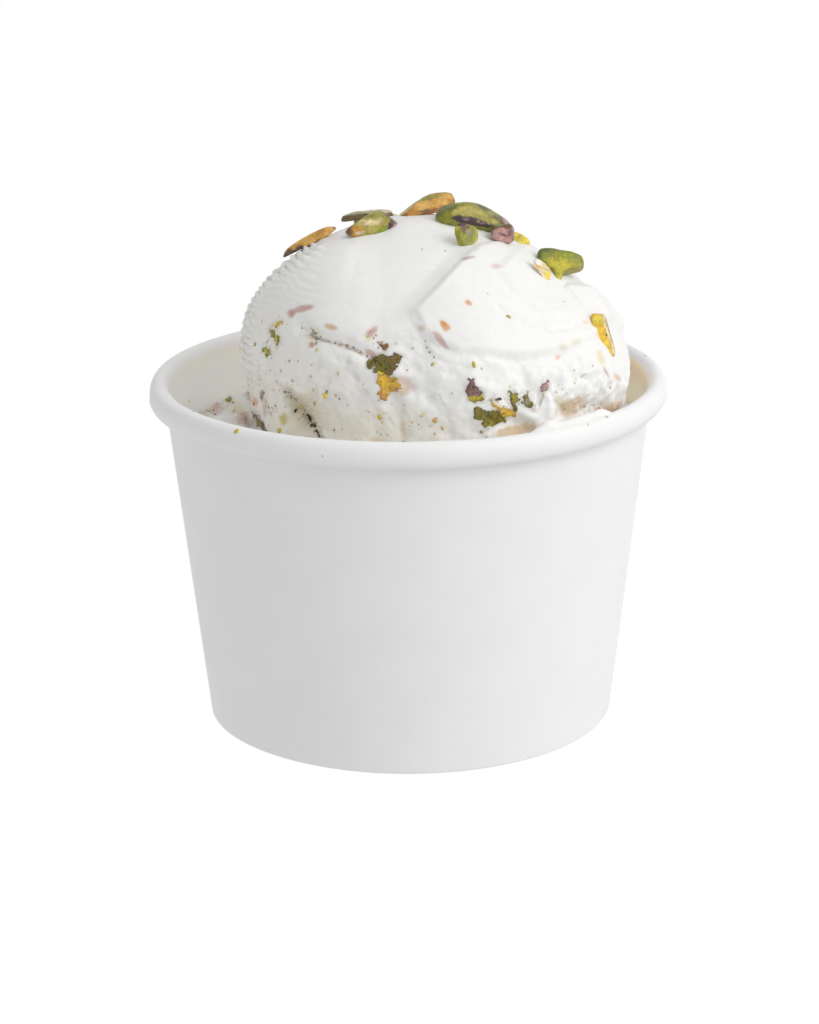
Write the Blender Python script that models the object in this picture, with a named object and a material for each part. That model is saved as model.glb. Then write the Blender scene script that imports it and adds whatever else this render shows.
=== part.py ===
"""A small white paper cup filled with white gelato: one rounded scoop that stands above the rim,
with pistachio pieces scattered over its top. The middle of the foot is the origin, +Z is up, and the
side with the torn, nut-flecked face looks along -Y. Sizes here are in millimetres, and MM turns them
into metres where a mesh or a place is handed to Blender."""

import math
from collections import namedtuple

import bmesh
import bpy
import numpy as np
from mathutils import Matrix, Vector

MM = 0.001

# Paper cup
RIM_RADIUS = 38.0
CUP_HEIGHT = 51.3
FOOT_RADIUS = 30.1
NECK_RADIUS = 35.5
BEAD_HALF_WIDTH = 1.44
BEAD_HALF_HEIGHT = 1.98
PAPER = 0.5
GAP = 0.3
BASE_RECESS = 6.0
FOLD_HEIGHT = 5.4
FOOT_ROUND = 0.35
BEAD_START = math.radians(-120)
BEAD_STEPS = 10
SEAM_ANGLE = math.radians(190.5)
SEAM_EDGE = math.radians(0.25)
SEAM_STEP = 0.25
SEAM_WIDTH = 7.0
SEAM_END = 28.0
CUP_COLUMNS = 64
BASE_COLUMNS = 48
MERGE = 0.01
SHARP_ANGLE = math.radians(50)

# Scoop of gelato
SCOOP_X = 7.3
SCOOP_Y = -3.5
SCOOP_WAIST_HEIGHT = 55.2
SCOOP_TOP_HEIGHT = 74.8
SCOOP_LEFT = 31.0
SCOOP_RIGHT = 25.0
SCOOP_FRONT = 28.5
SCOOP_BACK = 29.0
SCOOP_LEAN = -0.143
LEFT_FULLNESS = 2.06
RIGHT_FULLNESS = 1.6
FLANK_TAPER = 0.003
FILL_LEVEL = 44.7
FILL_RISE = 4.4
FILL_HIGH_SIDE = math.radians(285)
VIEW_TILT = math.radians(18)
GRID = 44
FRONT_DENSITY = 0.22
TABLE_TURNS = 180
TABLE_SHARES = 160
HEEL_HEIGHT = 0.02
HEEL_INSET = 0.8


# Outlines on the face of the scoop: x across, and height over the rim as seen from 18 degrees above
SCRAPE = (
    (-11.5, 8.0), (-9.5, 5.0), (-4.5, 4.2), (-1.0, 5.5), (4.5, 10.5), (9.5, 16.0), (8.0, 21.0),
    (-9.0, 21.0),
)
STROKE = (
    (9.8, 16.5), (6.6, 13.0), (4.5, 10.5), (1.0, 7.0), (2.0, 4.4), (3.5, 2.5), (7.0, 1.2),
    (15.0, 0.5), (22.0, 1.5), (28.0, 5.0), (24.0, 14.0), (16.0, 19.0),
)
UPPER_STROKE = (
    (12.5, 12.5), (14.5, 9.6), (19.0, 6.2), (24.0, 5.0), (29.0, 6.2), (27.0, 13.0), (17.0, 18.0),
)
FLAP = ((22.5, 10.5), (26.0, 10.5), (30.5, 7.6), (31.2, 5.8), (27.0, 5.6))
CRACK = ((-14.6, 5.4), (-12.8, 3.7), (-8.6, 2.4), (-5.5, 0.6), (-3.3, -0.8))
PIT = ((-17.3, -2.6), (-15.0, -4.5), (-12.0, -9.5), (-16.5, -9.5))
DRIP_GROOVE = ((-3.0, -3.0), (-2.0, -6.0), (-0.8, -10.0))
TORN = (
    (-15.0, 5.0), (-9.0, 2.6), (-5.0, 3.6), (2.0, 3.8), (4.0, 1.8), (12.0, 0.2), (24.0, 0.8),
    (36.0, -2.0), (36.0, -12.0), (-30.0, -12.0), (-24.0, -2.0),
)
HOLLOWS = (
    ((11.5, -8.3), (14.5, -7.6), (17.5, -8.6), (16.5, -10.0), (11.5, -10.0)),
    ((20.5, -6.0), (24.0, -5.0), (28.5, -6.0), (28.0, -8.0), (20.5, -8.0)),
)
# Heaps of gelato pushed against the paper: place, width and height
MOUNDS = (((-26.5, -8.5), 6.5, 2.6), ((23.0, -25.0), 7.0, 2.6), ((10.0, 29.0), 6.0, 1.5))
CRUMBLE = ((18.0, -1.0), (24.0, 0.5), (36.0, 0.0), (36.0, -7.0), (17.0, -7.0))
# How far each of these stands out, or is cut in
SCRAPE_DEPTH = 0.9
STROKE_HEIGHT = 0.7
UPPER_STROKE_HEIGHT = 0.5
FLAP_HEIGHT = 0.9
CRACK_DEPTH = 0.8
PIT_DEPTH = 1.4
GROOVE_DEPTH = 0.5
HOLLOW_DEPTH = 0.9
HEAP_HEIGHT = 0.5
# Size and height of the random lumps
SWELL = (11.0, 0.45)
RIPPLE = (5.5, 0.2)
TORN_LUMPS = (5.0, 0.5)
TORN_GRAIN = (2.6, 0.35)
CRUMBLE_LUMPS = (3.0, 0.5)
REAR_LUMPS = (3.6, 0.6)
HEAP_LUMPS = (7.0, 1.0)
HEAP_GRAIN = (3.4, 0.6)
# Rounding where the scoop's parts meet, left off near the top
BLEND_WIDTH = 2.6
BLEND_START = 20.0

# Pistachio pieces on the scoop. Place and directions are of the middle, the length and the upper
# face.
Piece = namedtuple("Piece", "place length_way up_way length width thickness form colour")
PIECES = (
    Piece((-14.35, 2.4, 70.65), (7.5, 0.3, 4.1), (-0.43, -0.1, 0.9), 9.0, 3.4, 2.0, "sliver", "amber"),
    Piece((-5.9, 5.6, 73.6), (7.4, 0.6, 0.6), (-0.2, 0.0, 0.97), 7.9, 3.8, 1.7, "slab", "olive"),
    Piece((-5.0, -3.6, 74.15), (7.0, -0.8, 0.5), (-0.15, -0.3, 0.93), 7.8, 5.5, 2.9, "half", "olive"),
    Piece((3.0, 3.4, 75.15), (8.5, 1.6, 2.4), (-0.2, -0.1, 0.95), 9.2, 4.8, 2.9, "tapered", "amber"),
    Piece((9.7, -2.8, 75.0), (10.9, 0.6, -1.5), (0.1, -0.3, 0.94), 11.3, 5.9, 3.2, "whole", "olive"),
    Piece((8.5, -10.3, 74.1), (0.3, -0.4, -0.9), (0.15, -0.75, 0.62), 3.8, 3.3, 2.2, "block", "green"),
    Piece((13.7, -7.0, 73.45), (3.3, -0.6, -0.8), (0.2, -0.4, 0.9), 3.8, 3.2, 2.8, "chip", "purple"),
    Piece((16.0, -3.6, 71.9), (2.9, -0.4, -1.5), (0.4, -0.1, 0.9), 3.8, 1.8, 1.4, "rod", "yellow"),
    Piece((21.8, -8.7, 69.2), (6.7, 0.9, -1.0), (0.2, -0.62, 0.75), 6.9, 6.4, 2.2, "wedge", "green"),
    Piece((19.2, -12.9, 69.6), (2.1, -0.6, -2.8), (0.5, -0.45, 0.75), 4.0, 2.2, 1.2, "chip", "cream"),
    Piece((27.5, -15.8, 60.75), (2.0, 0.2, -6.6), (0.6, -0.75, 0.3), 7.5, 2.9, 1.6, "plate", "yellow"),
    Piece((-4.1, 12.6, 71.2), (1.0, 0.25, -0.1), (-0.13, 0.49, 0.87), 8.4, 4.6, 2.5, "half", "olive"),
    Piece((12.3, 13.4, 68.95), (-0.6, 0.8, -0.2), (0.35, 0.43, 0.83), 7.4, 3.2, 1.9, "sliver", "amber"),
    Piece((3.0, 20.6, 65.3), (0.8, 0.3, -0.45), (0.0, 0.77, 0.64), 6.8, 3.2, 1.7, "block", "green"),
)
# Form of a piece: bluntness of the ends, taper, bend, how much the lower side narrows to a tail, and
# its flat cut faces, each with a direction and a distance from the middle in halves of the piece
Form = namedtuple("Form", "blunt taper bend tail cuts")
FORMS = {
    "sliver": Form(1.7, -0.1, 0.3, 0.0, (
        ((0.0, -0.8, 0.6), 0.66), ((0.0, 0.4, 0.9), 0.6), ((-0.5, -0.5, -0.7), 0.66),
    )),
    "rod": Form(3.2, 0.0, 0.1, 0.0, (
        ((0.0, -0.7, 0.7), 0.62), ((0.9, 0.4, 0.0), 0.85), ((-0.9, 0.3, 0.3), 0.8),
    )),
    "slab": Form(3.2, 0.0, 0.1, 0.0, (
        ((0.0, 0.0, 1.0), 0.6), ((0.0, -0.6, -0.8), 0.62), ((0.9, 0.4, 0.0), 0.86),
        ((-0.9, 0.4, 0.2), 0.84),
    )),
    "plate": Form(3.6, 0.0, 0.0, 0.0, (
        ((0.0, -0.5, 0.86), 0.56), ((0.0, 0.55, 0.84), 0.7), ((0.8, -0.6, 0.0), 0.74),
        ((-0.9, 0.2, 0.0), 0.88),
    )),
    "half": Form(3.4, 0.0, 0.0, 0.0, (
        ((-0.76, 0.48, 0.44), 0.56), ((0.1, -0.8, 0.6), 0.66), ((0.85, -0.6, 0.0), 0.86),
        ((1.0, 0.4, 0.4), 0.84),
    )),
    "tapered": Form(2.6, -0.3, 0.0, 0.0, (
        ((0.1, -0.75, -0.65), 0.72), ((-0.7, 0.3, 0.7), 0.72), ((0.3, -0.5, 0.8), 0.68),
        ((1.0, 0.0, 0.0), 0.95),
    )),
    "whole": Form(2.1, -0.05, 0.6, 0.0, (
        ((0.05, -0.55, 0.83), 0.74), ((-0.1, -0.95, -0.2), 0.8), ((0.65, 0.2, 0.75), 0.66),
    )),
    "block": Form(3.4, 0.0, 0.0, 0.0, (
        ((0.0, 0.0, 1.0), 0.5), ((0.7, 0.6, 0.2), 0.88), ((-0.8, 0.5, 0.2), 0.86),
    )),
    "chip": Form(2.6, 0.0, 0.0, 0.0, (
        ((0.2, -0.75, 0.63), 0.5), ((0.9, 0.0, 0.3), 0.8), ((-0.6, 0.3, 0.7), 0.66),
    )),
    "wedge": Form(3.4, 0.0, 0.0, 0.75, (
        ((0.0, 0.0, 1.0), 0.66), ((0.15, 1.0, 0.1), 0.8), ((-0.87, -0.49, 0.0), 0.74),
    )),
    "grain": Form(2.6, 0.15, 0.0, 0.0, (
        ((0.3, -0.6, 0.7), 0.62), ((-0.7, 0.3, 0.6), 0.66), ((0.5, 0.8, 0.3), 0.7),
    )),
}
EDGE_SHARPNESS = 14
TAIL_PLACE = -0.25
TAIL_START = 0.0
TAIL_END = 0.6
LARGE_PIECE = 6.0
UPPER_SHARE = 0.62
CLEARANCE = 0.34

# Nut bits sunk into the face: place on the face, width and height
FRONT_BITS = (
    ((-2.7, 0.4), 4.6, 3.4), ((-2.4, -3.0), 3.4, 4.2), ((9.2, -3.6), 2.2, 3.0), ((11.4, -6.9), 4.8, 3.0),
    ((14.6, -5.0), 3.4, 3.0), ((18.1, -3.2), 1.7, 1.8), ((-14.9, 7.7), 3.2, 1.5), ((-18.7, 4.3), 1.7, 3.6),
    ((-5.2, 3.8), 1.8, 2.0), ((4.6, 4.4), 1.6, 2.2), ((-16.5, -7.0), 2.0, 2.6), ((22.5, -5.5), 2.0, 1.6),
)
REAR_BITS = 7
FILL_BITS = 4
BIT_SEED = 11
BIT_DEPTH = 1.5

# Colour and roughness of each material
LOOKS = {
    "paper": ((0.87, 0.87, 0.86), 0.55),
    "gelato": ((0.88, 0.87, 0.83), 0.45),
    "amber": ((0.52, 0.30, 0.08), 0.4),
    "olive": ((0.30, 0.28, 0.06), 0.45),
    "green": ((0.30, 0.34, 0.06), 0.45),
    "purple": ((0.33, 0.18, 0.17), 0.5),
    "yellow": ((0.72, 0.50, 0.06), 0.4),
    "cream": ((0.80, 0.68, 0.42), 0.5),
}


def ease(low, high, value):
    t = np.clip((value - low) / (high - low), 0.0, 1.0)
    return t * t * (3.0 - 2.0 * t)


def wall_radius(z):
    """Outside of the paper wall, a cone."""
    neck = CUP_HEIGHT - 2 * BEAD_HALF_HEIGHT
    return FOOT_RADIUS + (NECK_RADIUS - FOOT_RADIUS) * z / neck


def inside_radius(z):
    return wall_radius(z) - PAPER - GAP


def make_material(name, colour, roughness):
    material = bpy.data.materials.new(name)
    material.use_nodes = True
    surface = material.node_tree.nodes["Principled BSDF"]
    surface.inputs["Base Color"].default_value = (*colour, 1.0)
    surface.inputs["Roughness"].default_value = roughness
    surface.inputs["Metallic"].default_value = 0.0
    return material


def add_object(name, mesh, material, parent=None):
    mesh.shade_smooth()
    mesh.set_sharp_from_angle(angle=SHARP_ANGLE)
    obj = bpy.data.objects.new(name, mesh)
    obj.data.materials.append(material)
    obj.parent = parent
    bpy.context.scene.collection.objects.link(obj)
    return obj


def mesh_from(name, points, faces):
    mesh = bpy.data.meshes.new(name)
    scaled = [tuple(float(c) * MM for c in point) for point in points]
    mesh.from_pydata(scaled, [], [tuple(int(i) for i in face) for face in faces])
    mesh.update()
    return mesh


def seam_offset(angle):
    """The sheet overlaps itself in a strip, so the outside steps out there and eases back."""
    run = (angle - SEAM_ANGLE) * NECK_RADIUS
    if run < 0.0 or run > SEAM_END:
        return 0.0
    return SEAM_STEP * (1.0 - float(ease(SEAM_WIDTH, SEAM_END, run)))


def wall_profile():
    """Closed outline of the wall: outside, rolled bead, inside, and the foot folded in and up."""
    bead_x = RIM_RADIUS - BEAD_HALF_WIDTH
    bead_z = CUP_HEIGHT - BEAD_HALF_HEIGHT
    neck_z = CUP_HEIGHT - 2 * BEAD_HALF_HEIGHT
    slope = (NECK_RADIUS - FOOT_RADIUS) / neck_z
    outline = [(FOOT_RADIUS - FOOT_ROUND, 0.0), (wall_radius(FOOT_ROUND), FOOT_ROUND)]
    outline.append((wall_radius(neck_z), neck_z))
    for i in range(BEAD_STEPS + 1):
        turn = BEAD_START + (math.pi - BEAD_START) * i / BEAD_STEPS
        x = bead_x + BEAD_HALF_WIDTH * math.cos(turn)
        outline.append((x, bead_z + BEAD_HALF_HEIGHT * math.sin(turn)))
    fold_outer = wall_radius(PAPER) - 2 * PAPER - 2 * GAP
    fold_inner = fold_outer - PAPER
    outline.append((wall_radius(PAPER) - PAPER, PAPER))
    outline.append((fold_outer, PAPER))
    outline.append((fold_outer + slope * FOLD_HEIGHT, FOLD_HEIGHT))
    outline.append((fold_inner + slope * FOLD_HEIGHT, FOLD_HEIGHT))
    outline.append((fold_inner, FOOT_ROUND))
    outline.append((fold_inner + FOOT_ROUND, 0.0))
    return outline


def make_cup_wall(material, parent):
    """The outline spun round the cup's axis, with the seam's step pushed out of the outer face."""
    edges = []
    bm = bmesh.new()
    corners = [bm.verts.new((x * MM, 0.0, z * MM)) for x, z in wall_profile()]
    for corner, following in zip(corners, corners[1:] + corners[:1]):
        edges.append(bm.edges.new((corner, following)))
    bmesh.ops.spin(
        bm, geom=corners + edges, axis=(0, 0, 1), cent=(0, 0, 0), angle=2 * math.pi,
        steps=CUP_COLUMNS, use_merge=True,
    )
    bmesh.ops.remove_doubles(bm, verts=bm.verts, dist=MERGE * MM)
    bmesh.ops.recalc_face_normals(bm, faces=bm.faces)
    column = 2 * math.pi / CUP_COLUMNS
    before = math.floor(SEAM_ANGLE / column) * column
    for vert in bm.verts:
        angle = math.atan2(vert.co.y, vert.co.x) % (2 * math.pi)
        if abs(angle - before) < 0.1 * column:
            angle = SEAM_ANGLE - SEAM_EDGE
        elif abs(angle - before - column) < 0.1 * column:
            angle = SEAM_ANGLE + SEAM_EDGE
        radius = math.hypot(vert.co.x, vert.co.y)
        height = vert.co.z / MM
        outside = radius / MM > wall_radius(height) - 0.5 * PAPER and height < CUP_HEIGHT - 0.1
        push = seam_offset(angle) * MM if outside else 0.0
        vert.co.x = (radius + push) * math.cos(angle)
        vert.co.y = (radius + push) * math.sin(angle)
    bmesh.ops.triangulate(bm, faces=bm.faces)
    mesh = bpy.data.meshes.new("cup_wall")
    bm.to_mesh(mesh)
    bm.free()
    return add_object("cup_wall", mesh, material, parent)


def make_cup_base(material, parent):
    """A recessed disc whose edge turns down into a skirt inside the folded foot, by a Screw."""
    top = BASE_RECESS + PAPER
    skirt_end = PAPER + GAP
    corner = 2 * PAPER
    bevel = 0.3 * corner
    outline = [
        (0.0, top),
        (inside_radius(top) - corner, top),
        (inside_radius(top) - bevel, top - bevel),
        (inside_radius(top - corner), top - corner),
        (inside_radius(skirt_end), skirt_end),
        (inside_radius(skirt_end) - PAPER, skirt_end),
        (inside_radius(BASE_RECESS - PAPER) - PAPER, BASE_RECESS - PAPER),
        (inside_radius(BASE_RECESS) - 2 * PAPER, BASE_RECESS),
        (0.0, BASE_RECESS),
    ]
    mesh = bpy.data.meshes.new("cup_base")
    lines = [(i, i + 1) for i in range(len(outline) - 1)]
    mesh.from_pydata([(x * MM, 0.0, z * MM) for x, z in outline], lines, [])
    obj = add_object("cup_base", mesh, material, parent)
    turn = obj.modifiers.new("turn", "SCREW")
    turn.steps = BASE_COLUMNS
    turn.render_steps = BASE_COLUMNS
    turn.use_merge_vertices = True
    turn.merge_threshold = MERGE * MM
    turn.use_smooth_shade = True
    return obj


def hashed(x, y, z, seed):
    h = (x * 374761393 + y * 668265263 + z * 1274126177 + seed * 974634777) & 0xFFFFFFFF
    h = ((h ^ (h >> 13)) * 1103515245) & 0xFFFFFFFF
    h = ((h ^ (h >> 15)) * 668265263) & 0xFFFFFFFF
    return ((h ^ (h >> 16)) & 0xFFFF) / 32767.5 - 1.0


def lumps(points, size, height, seed):
    """Smooth random relief up to height out or in, with lumps about as wide as size."""
    turn = np.array(Matrix.Rotation(0.7 + seed, 3, Vector((1.0, 2.0, 0.5)).normalized()))
    p = points @ turn.T / size
    base = np.floor(p).astype(np.int64)
    f = p - base
    w = f * f * f * (f * (f * 6 - 15) + 10)
    total = np.zeros(len(p))
    for dx in (0, 1):
        for dy in (0, 1):
            for dz in (0, 1):
                part = np.where(dx, w[:, 0], 1 - w[:, 0]) * np.where(dy, w[:, 1], 1 - w[:, 1])
                part = part * np.where(dz, w[:, 2], 1 - w[:, 2])
                total += part * hashed(base[:, 0] + dx, base[:, 1] + dy, base[:, 2] + dz, seed)
    return height * total


def line_distance(q, corners, closed=False):
    """Distance from each flat point to a chain of corners."""
    corners = np.array(corners, float)
    ends = np.roll(corners, -1, axis=0)
    if not closed:
        corners, ends = corners[:-1], ends[:-1]
    best = np.full(len(q), 1e9)
    for a, b in zip(corners, ends):
        along = b - a
        t = np.clip((q - a) @ along / (along @ along), 0.0, 1.0)
        best = np.minimum(best, np.hypot(*(q - a - t[:, None] * along).T))
    return best


def depth_inside(q, corners):
    """Signed distance to a closed outline, more than zero inside."""
    corners = np.array(corners, float)
    ends = np.roll(corners, -1, axis=0)
    inside = np.zeros(len(q), bool)
    for (ax, ay), (bx, by) in zip(corners, ends):
        crosses = (ay > q[:, 1]) != (by > q[:, 1])
        span = by - ay if by != ay else 1e-9
        inside ^= crosses & (q[:, 0] < ax + (bx - ax) * (q[:, 1] - ay) / span)
    distance = line_distance(q, corners, closed=True)
    return np.where(inside, distance, -distance)


def relief(points, normals):
    """How far the gelato stands out of, or sinks into, the plain scoop."""
    towards = np.array((0.0, -math.cos(VIEW_TILT), math.sin(VIEW_TILT)))
    facing = normals @ towards
    front = ease(-0.05, 0.4, facing)
    back = ease(-0.05, 0.4, -facing)
    rim_side = ease(-0.6, -0.1, facing)
    lift = (points[:, 2] - CUP_HEIGHT) * math.cos(VIEW_TILT)
    q = np.stack([points[:, 0], lift + points[:, 1] * math.sin(VIEW_TILT)], axis=1)
    scrape = depth_inside(q, SCRAPE)
    stroke = depth_inside(q, STROKE)
    upper = depth_inside(q, UPPER_STROKE)
    flap = depth_inside(q, FLAP)
    torn = ease(-1.0, 1.0, depth_inside(q, TORN))
    crumble = ease(-1.0, 1.5, depth_inside(q, CRUMBLE))
    shift = -SCRAPE_DEPTH * ease(-0.8, 3.0, scrape)
    shift += STROKE_HEIGHT * ease(-0.7, 0.7, stroke)
    shift += UPPER_STROKE_HEIGHT * ease(-0.7, 0.7, upper)
    shift -= CRACK_DEPTH * (1 - ease(0.0, 1.6, line_distance(q, CRACK)))
    shift -= PIT_DEPTH * ease(-1.0, 1.5, depth_inside(q, PIT))
    shift -= GROOVE_DEPTH * (1 - ease(0.0, 1.8, line_distance(q, DRIP_GROOVE)))
    shift += torn * (lumps(points, *TORN_LUMPS, 3) + lumps(points, *TORN_GRAIN, 4))
    shift += crumble * lumps(points, *CRUMBLE_LUMPS, 5)
    for hollow in HOLLOWS:
        shift -= HOLLOW_DEPTH * ease(-0.8, 1.0, depth_inside(q, hollow))
    away_side = lift - (points[:, 1] - 2 * SCOOP_Y) * math.sin(VIEW_TILT)
    mirrored = np.stack([-points[:, 0], away_side], axis=1)
    rear = STROKE_HEIGHT * ease(-0.9, 0.9, depth_inside(mirrored, STROKE))
    rear += UPPER_STROKE_HEIGHT * ease(-0.9, 0.9, depth_inside(mirrored, UPPER_STROKE))
    rear += ease(-1.0, 1.0, depth_inside(mirrored, TORN)) * lumps(points, *REAR_LUMPS, 6)
    low = lumps(points, *SWELL, 1) + lumps(points, *RIPPLE, 2)
    fold = FLAP_HEIGHT * ease(-1.0, 0.8, flap) * rim_side
    level = FILL_LEVEL + FILL_RISE * np.cos(np.arctan2(points[:, 1], points[:, 0]) - FILL_HIGH_SIDE)
    slump = (1 - ease(0.5, 3.0, points[:, 2] - level)) * ease(0.5, 0.85, normals[:, 2])
    heap = slump * (HEAP_HEIGHT + lumps(points, *HEAP_LUMPS, 8) + lumps(points, *HEAP_GRAIN, 9))
    for place, width, height in MOUNDS:
        away = np.hypot(points[:, 0] - place[0], points[:, 1] - place[1])
        heap += slump * height * (1 - ease(0.0, width, away))
    return front * shift + back * rear + fold + heap + low * (1 - 0.7 * ease(1.0, 3.0, scrape) * front)


def blended(rho, z):
    """The outline made even along its length, with the bends rounded."""
    length = np.concatenate([[0.0], np.cumsum(np.hypot(np.diff(rho), np.diff(z)))])
    fine = np.linspace(0.0, length[-1], 4 * TABLE_SHARES)
    rho = np.interp(fine, length, rho)
    z = np.interp(fine, length, z)
    half = max(3, int(BLEND_WIDTH / fine[1]))
    kernel = np.hanning(2 * half + 1)
    kernel /= kernel.sum()
    soft_rho = np.convolve(np.pad(rho, half, mode="edge"), kernel, mode="valid")
    soft_z = np.convolve(np.pad(z, half, mode="edge"), kernel, mode="valid")
    near = ease(0.0, 2.0 * half * fine[1], np.minimum(fine - BLEND_START, fine[-1] - fine))
    rho = rho + (soft_rho - rho) * near
    z = z + (soft_z - z) * near
    pick = np.linspace(0, len(fine) - 1, TABLE_SHARES)
    index = np.arange(len(fine))
    return np.interp(pick, index, rho), np.interp(pick, index, z)


def scoop_table():
    """The plain scoop and fill: positions by angle and by share of the way to the wall."""
    angles = 2 * math.pi * np.arange(TABLE_TURNS + 1) / TABLE_TURNS
    grid = np.zeros((TABLE_TURNS + 1, TABLE_SHARES, 3))
    for i, angle in enumerate(angles):
        c, s = math.cos(angle), math.sin(angle)
        across = SCOOP_RIGHT if c > 0 else SCOOP_LEFT
        along = SCOOP_BACK if s > 0 else SCOOP_FRONT
        reach = 1.0 / math.hypot(c / across, s / along)
        full = LEFT_FULLNESS + (RIGHT_FULLNESS - LEFT_FULLNESS) * float(ease(-1.0, 1.0, c))
        turn = np.linspace(0.0, math.pi / 2, 120)
        rise = np.cos(turn)
        rho = reach * np.maximum(1 - rise**full, 0.0) ** (1 / full)
        z = SCOOP_WAIST_HEIGHT + (SCOOP_TOP_HEIGHT - SCOOP_WAIST_HEIGHT) * rise
        level = FILL_LEVEL + FILL_RISE * math.cos(angle - FILL_HIGH_SIDE)
        down = np.linspace(SCOOP_WAIST_HEIGHT, level, 30)[1:]
        rho = np.concatenate([rho, reach * (1 - FLANK_TAPER * (SCOOP_WAIST_HEIGHT - down))])
        z = np.concatenate([z, down])
        limit = inside_radius(level)
        inward = SCOOP_X * c + SCOOP_Y * s
        to_wall = -inward + math.sqrt(inward**2 - SCOOP_X**2 - SCOOP_Y**2 + limit**2)
        out = np.linspace(rho[-1], to_wall, 20)[1:]
        rho = np.concatenate([rho, out])
        z = np.concatenate([z, np.full(len(out), level)])
        rho, z = blended(rho, z)
        shift = SCOOP_LEAN * np.maximum(z - SCOOP_WAIST_HEIGHT, 0.0)
        grid[i] = np.stack([SCOOP_X + shift + rho * c, SCOOP_Y + rho * s, z], axis=1)
    return grid


def table_normals(grid):
    ring = grid[:-1]
    around = np.roll(ring, -1, axis=0) - np.roll(ring, 1, axis=0)
    outward = np.gradient(ring, axis=1)
    normal = np.cross(outward, around)
    normal[:, :2] = normal[:, 2:3].mean(axis=0, keepdims=True)
    normal /= np.linalg.norm(normal, axis=2, keepdims=True)
    return np.concatenate([normal, normal[:1]], axis=0)


def sample_table(table, angle, share):
    """Bilinear lookup by angle and by share from the top (0) to the wall (1)."""
    turns, samples = table.shape[0] - 1, table.shape[1]
    a = (angle / (2 * math.pi) % 1.0) * turns
    s = np.clip(share, 0.0, 1.0) * (samples - 1)
    i = np.minimum(a.astype(int), turns - 1)
    j = np.minimum(s.astype(int), samples - 2)
    u = (a - i)[:, None]
    v = (s - j)[:, None]
    low = table[i, j] * (1 - v) + table[i, j + 1] * v
    high = table[i + 1, j] * (1 - v) + table[i + 1, j + 1] * v
    return low * (1 - u) + high * u


def disc_grid(cells, density):
    """A square grid laid onto a disc, closer together towards the front."""
    line = np.linspace(-1.0, 1.0, cells + 1)
    y = line - density * (1 - line**2)
    gx, gy = np.meshgrid(line, y, indexing="ij")
    gx, gy = gx.ravel(), gy.ravel()
    wide = np.abs(gx) >= np.abs(gy)
    radius = np.where(wide, gx, gy)
    safe_x = np.where(gx == 0, 1.0, gx)
    safe_y = np.where(gy == 0, 1.0, gy)
    angle = np.where(wide, math.pi / 4 * gy / safe_x, math.pi / 2 - math.pi / 4 * gx / safe_y)
    angle = np.where((gx == 0) & (gy == 0), 0.0, angle)
    angle = np.where(radius < 0, angle + math.pi, angle) % (2 * math.pi)
    return angle, np.abs(radius)


def surface(angle, share, table, normals):
    base = sample_table(table, angle, share)
    normal = sample_table(normals, angle, share)
    normal /= np.linalg.norm(normal, axis=1, keepdims=True)
    edge = ease(1.0, 0.94, share)
    moved = base + normal * (relief(base, normal) * edge)[:, None]
    limit = inside_radius(moved[:, 2])
    radius = np.hypot(moved[:, 0], moved[:, 1])
    keep = np.where((moved[:, 2] < CUP_HEIGHT + 0.5) & (radius > limit), limit / radius, 1.0)
    keep = np.where(share > 0.999, limit / radius, keep)
    moved[:, :2] *= keep[:, None]
    return moved


def make_gelato(material, parent):
    """The fill, the scoop and their relief as one solid, closed along the inside of the paper."""
    table = scoop_table()
    normals = table_normals(table)
    cells = GRID
    angle, share = disc_grid(cells, FRONT_DENSITY)
    points = list(map(tuple, surface(angle, share, table, normals)))
    side = cells + 1
    faces = []
    for i in range(cells):
        for j in range(cells):
            a, b = i * side + j, (i + 1) * side + j
            quad = (a, b, b + 1, a + 1)
            if (i < cells / 2) == (j < cells / 2):
                faces += [(quad[0], quad[1], quad[3]), (quad[1], quad[2], quad[3])]
            else:
                faces += [(quad[0], quad[1], quad[2]), (quad[0], quad[2], quad[3])]
    loop = [i * side for i in range(cells)]
    loop += [cells * side + j for j in range(cells)]
    loop += [i * side + cells for i in range(cells, 0, -1)]
    loop += [j for j in range(cells, 0, -1)]
    bottom = BASE_RECESS + PAPER + GAP
    previous = loop
    for height, inset in ((HEEL_HEIGHT, 0.0), (0.0, HEEL_INSET)):
        ring = []
        for k in loop:
            x, y, z = points[k]
            z = bottom + (z - bottom) * height
            radius = inside_radius(z) - inset
            turn = math.atan2(y, x)
            ring.append(len(points))
            points.append((radius * math.cos(turn), radius * math.sin(turn), z))
        for k in range(len(loop)):
            n = (k + 1) % len(loop)
            faces.append((previous[k], ring[k], ring[n]))
            faces.append((previous[k], ring[n], previous[n]))
        previous = ring
    centre = len(points)
    points.append((0.0, 0.0, bottom))
    for k in range(len(loop)):
        faces.append((previous[k], centre, previous[(k + 1) % len(loop)]))
    return add_object("gelato", mesh_from("gelato", points, faces), material, parent)


def frame_of(place, length_way, up_way):
    """Matrix that lays a mesh's X along the length and its Z along the upper face."""
    along = Vector(length_way).normalized()
    side = Vector(up_way).cross(along).normalized()
    turn = Matrix((along, side, along.cross(side))).transposed()
    return Matrix.Translation(Vector(place) * MM) @ turn.to_4x4()


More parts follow.
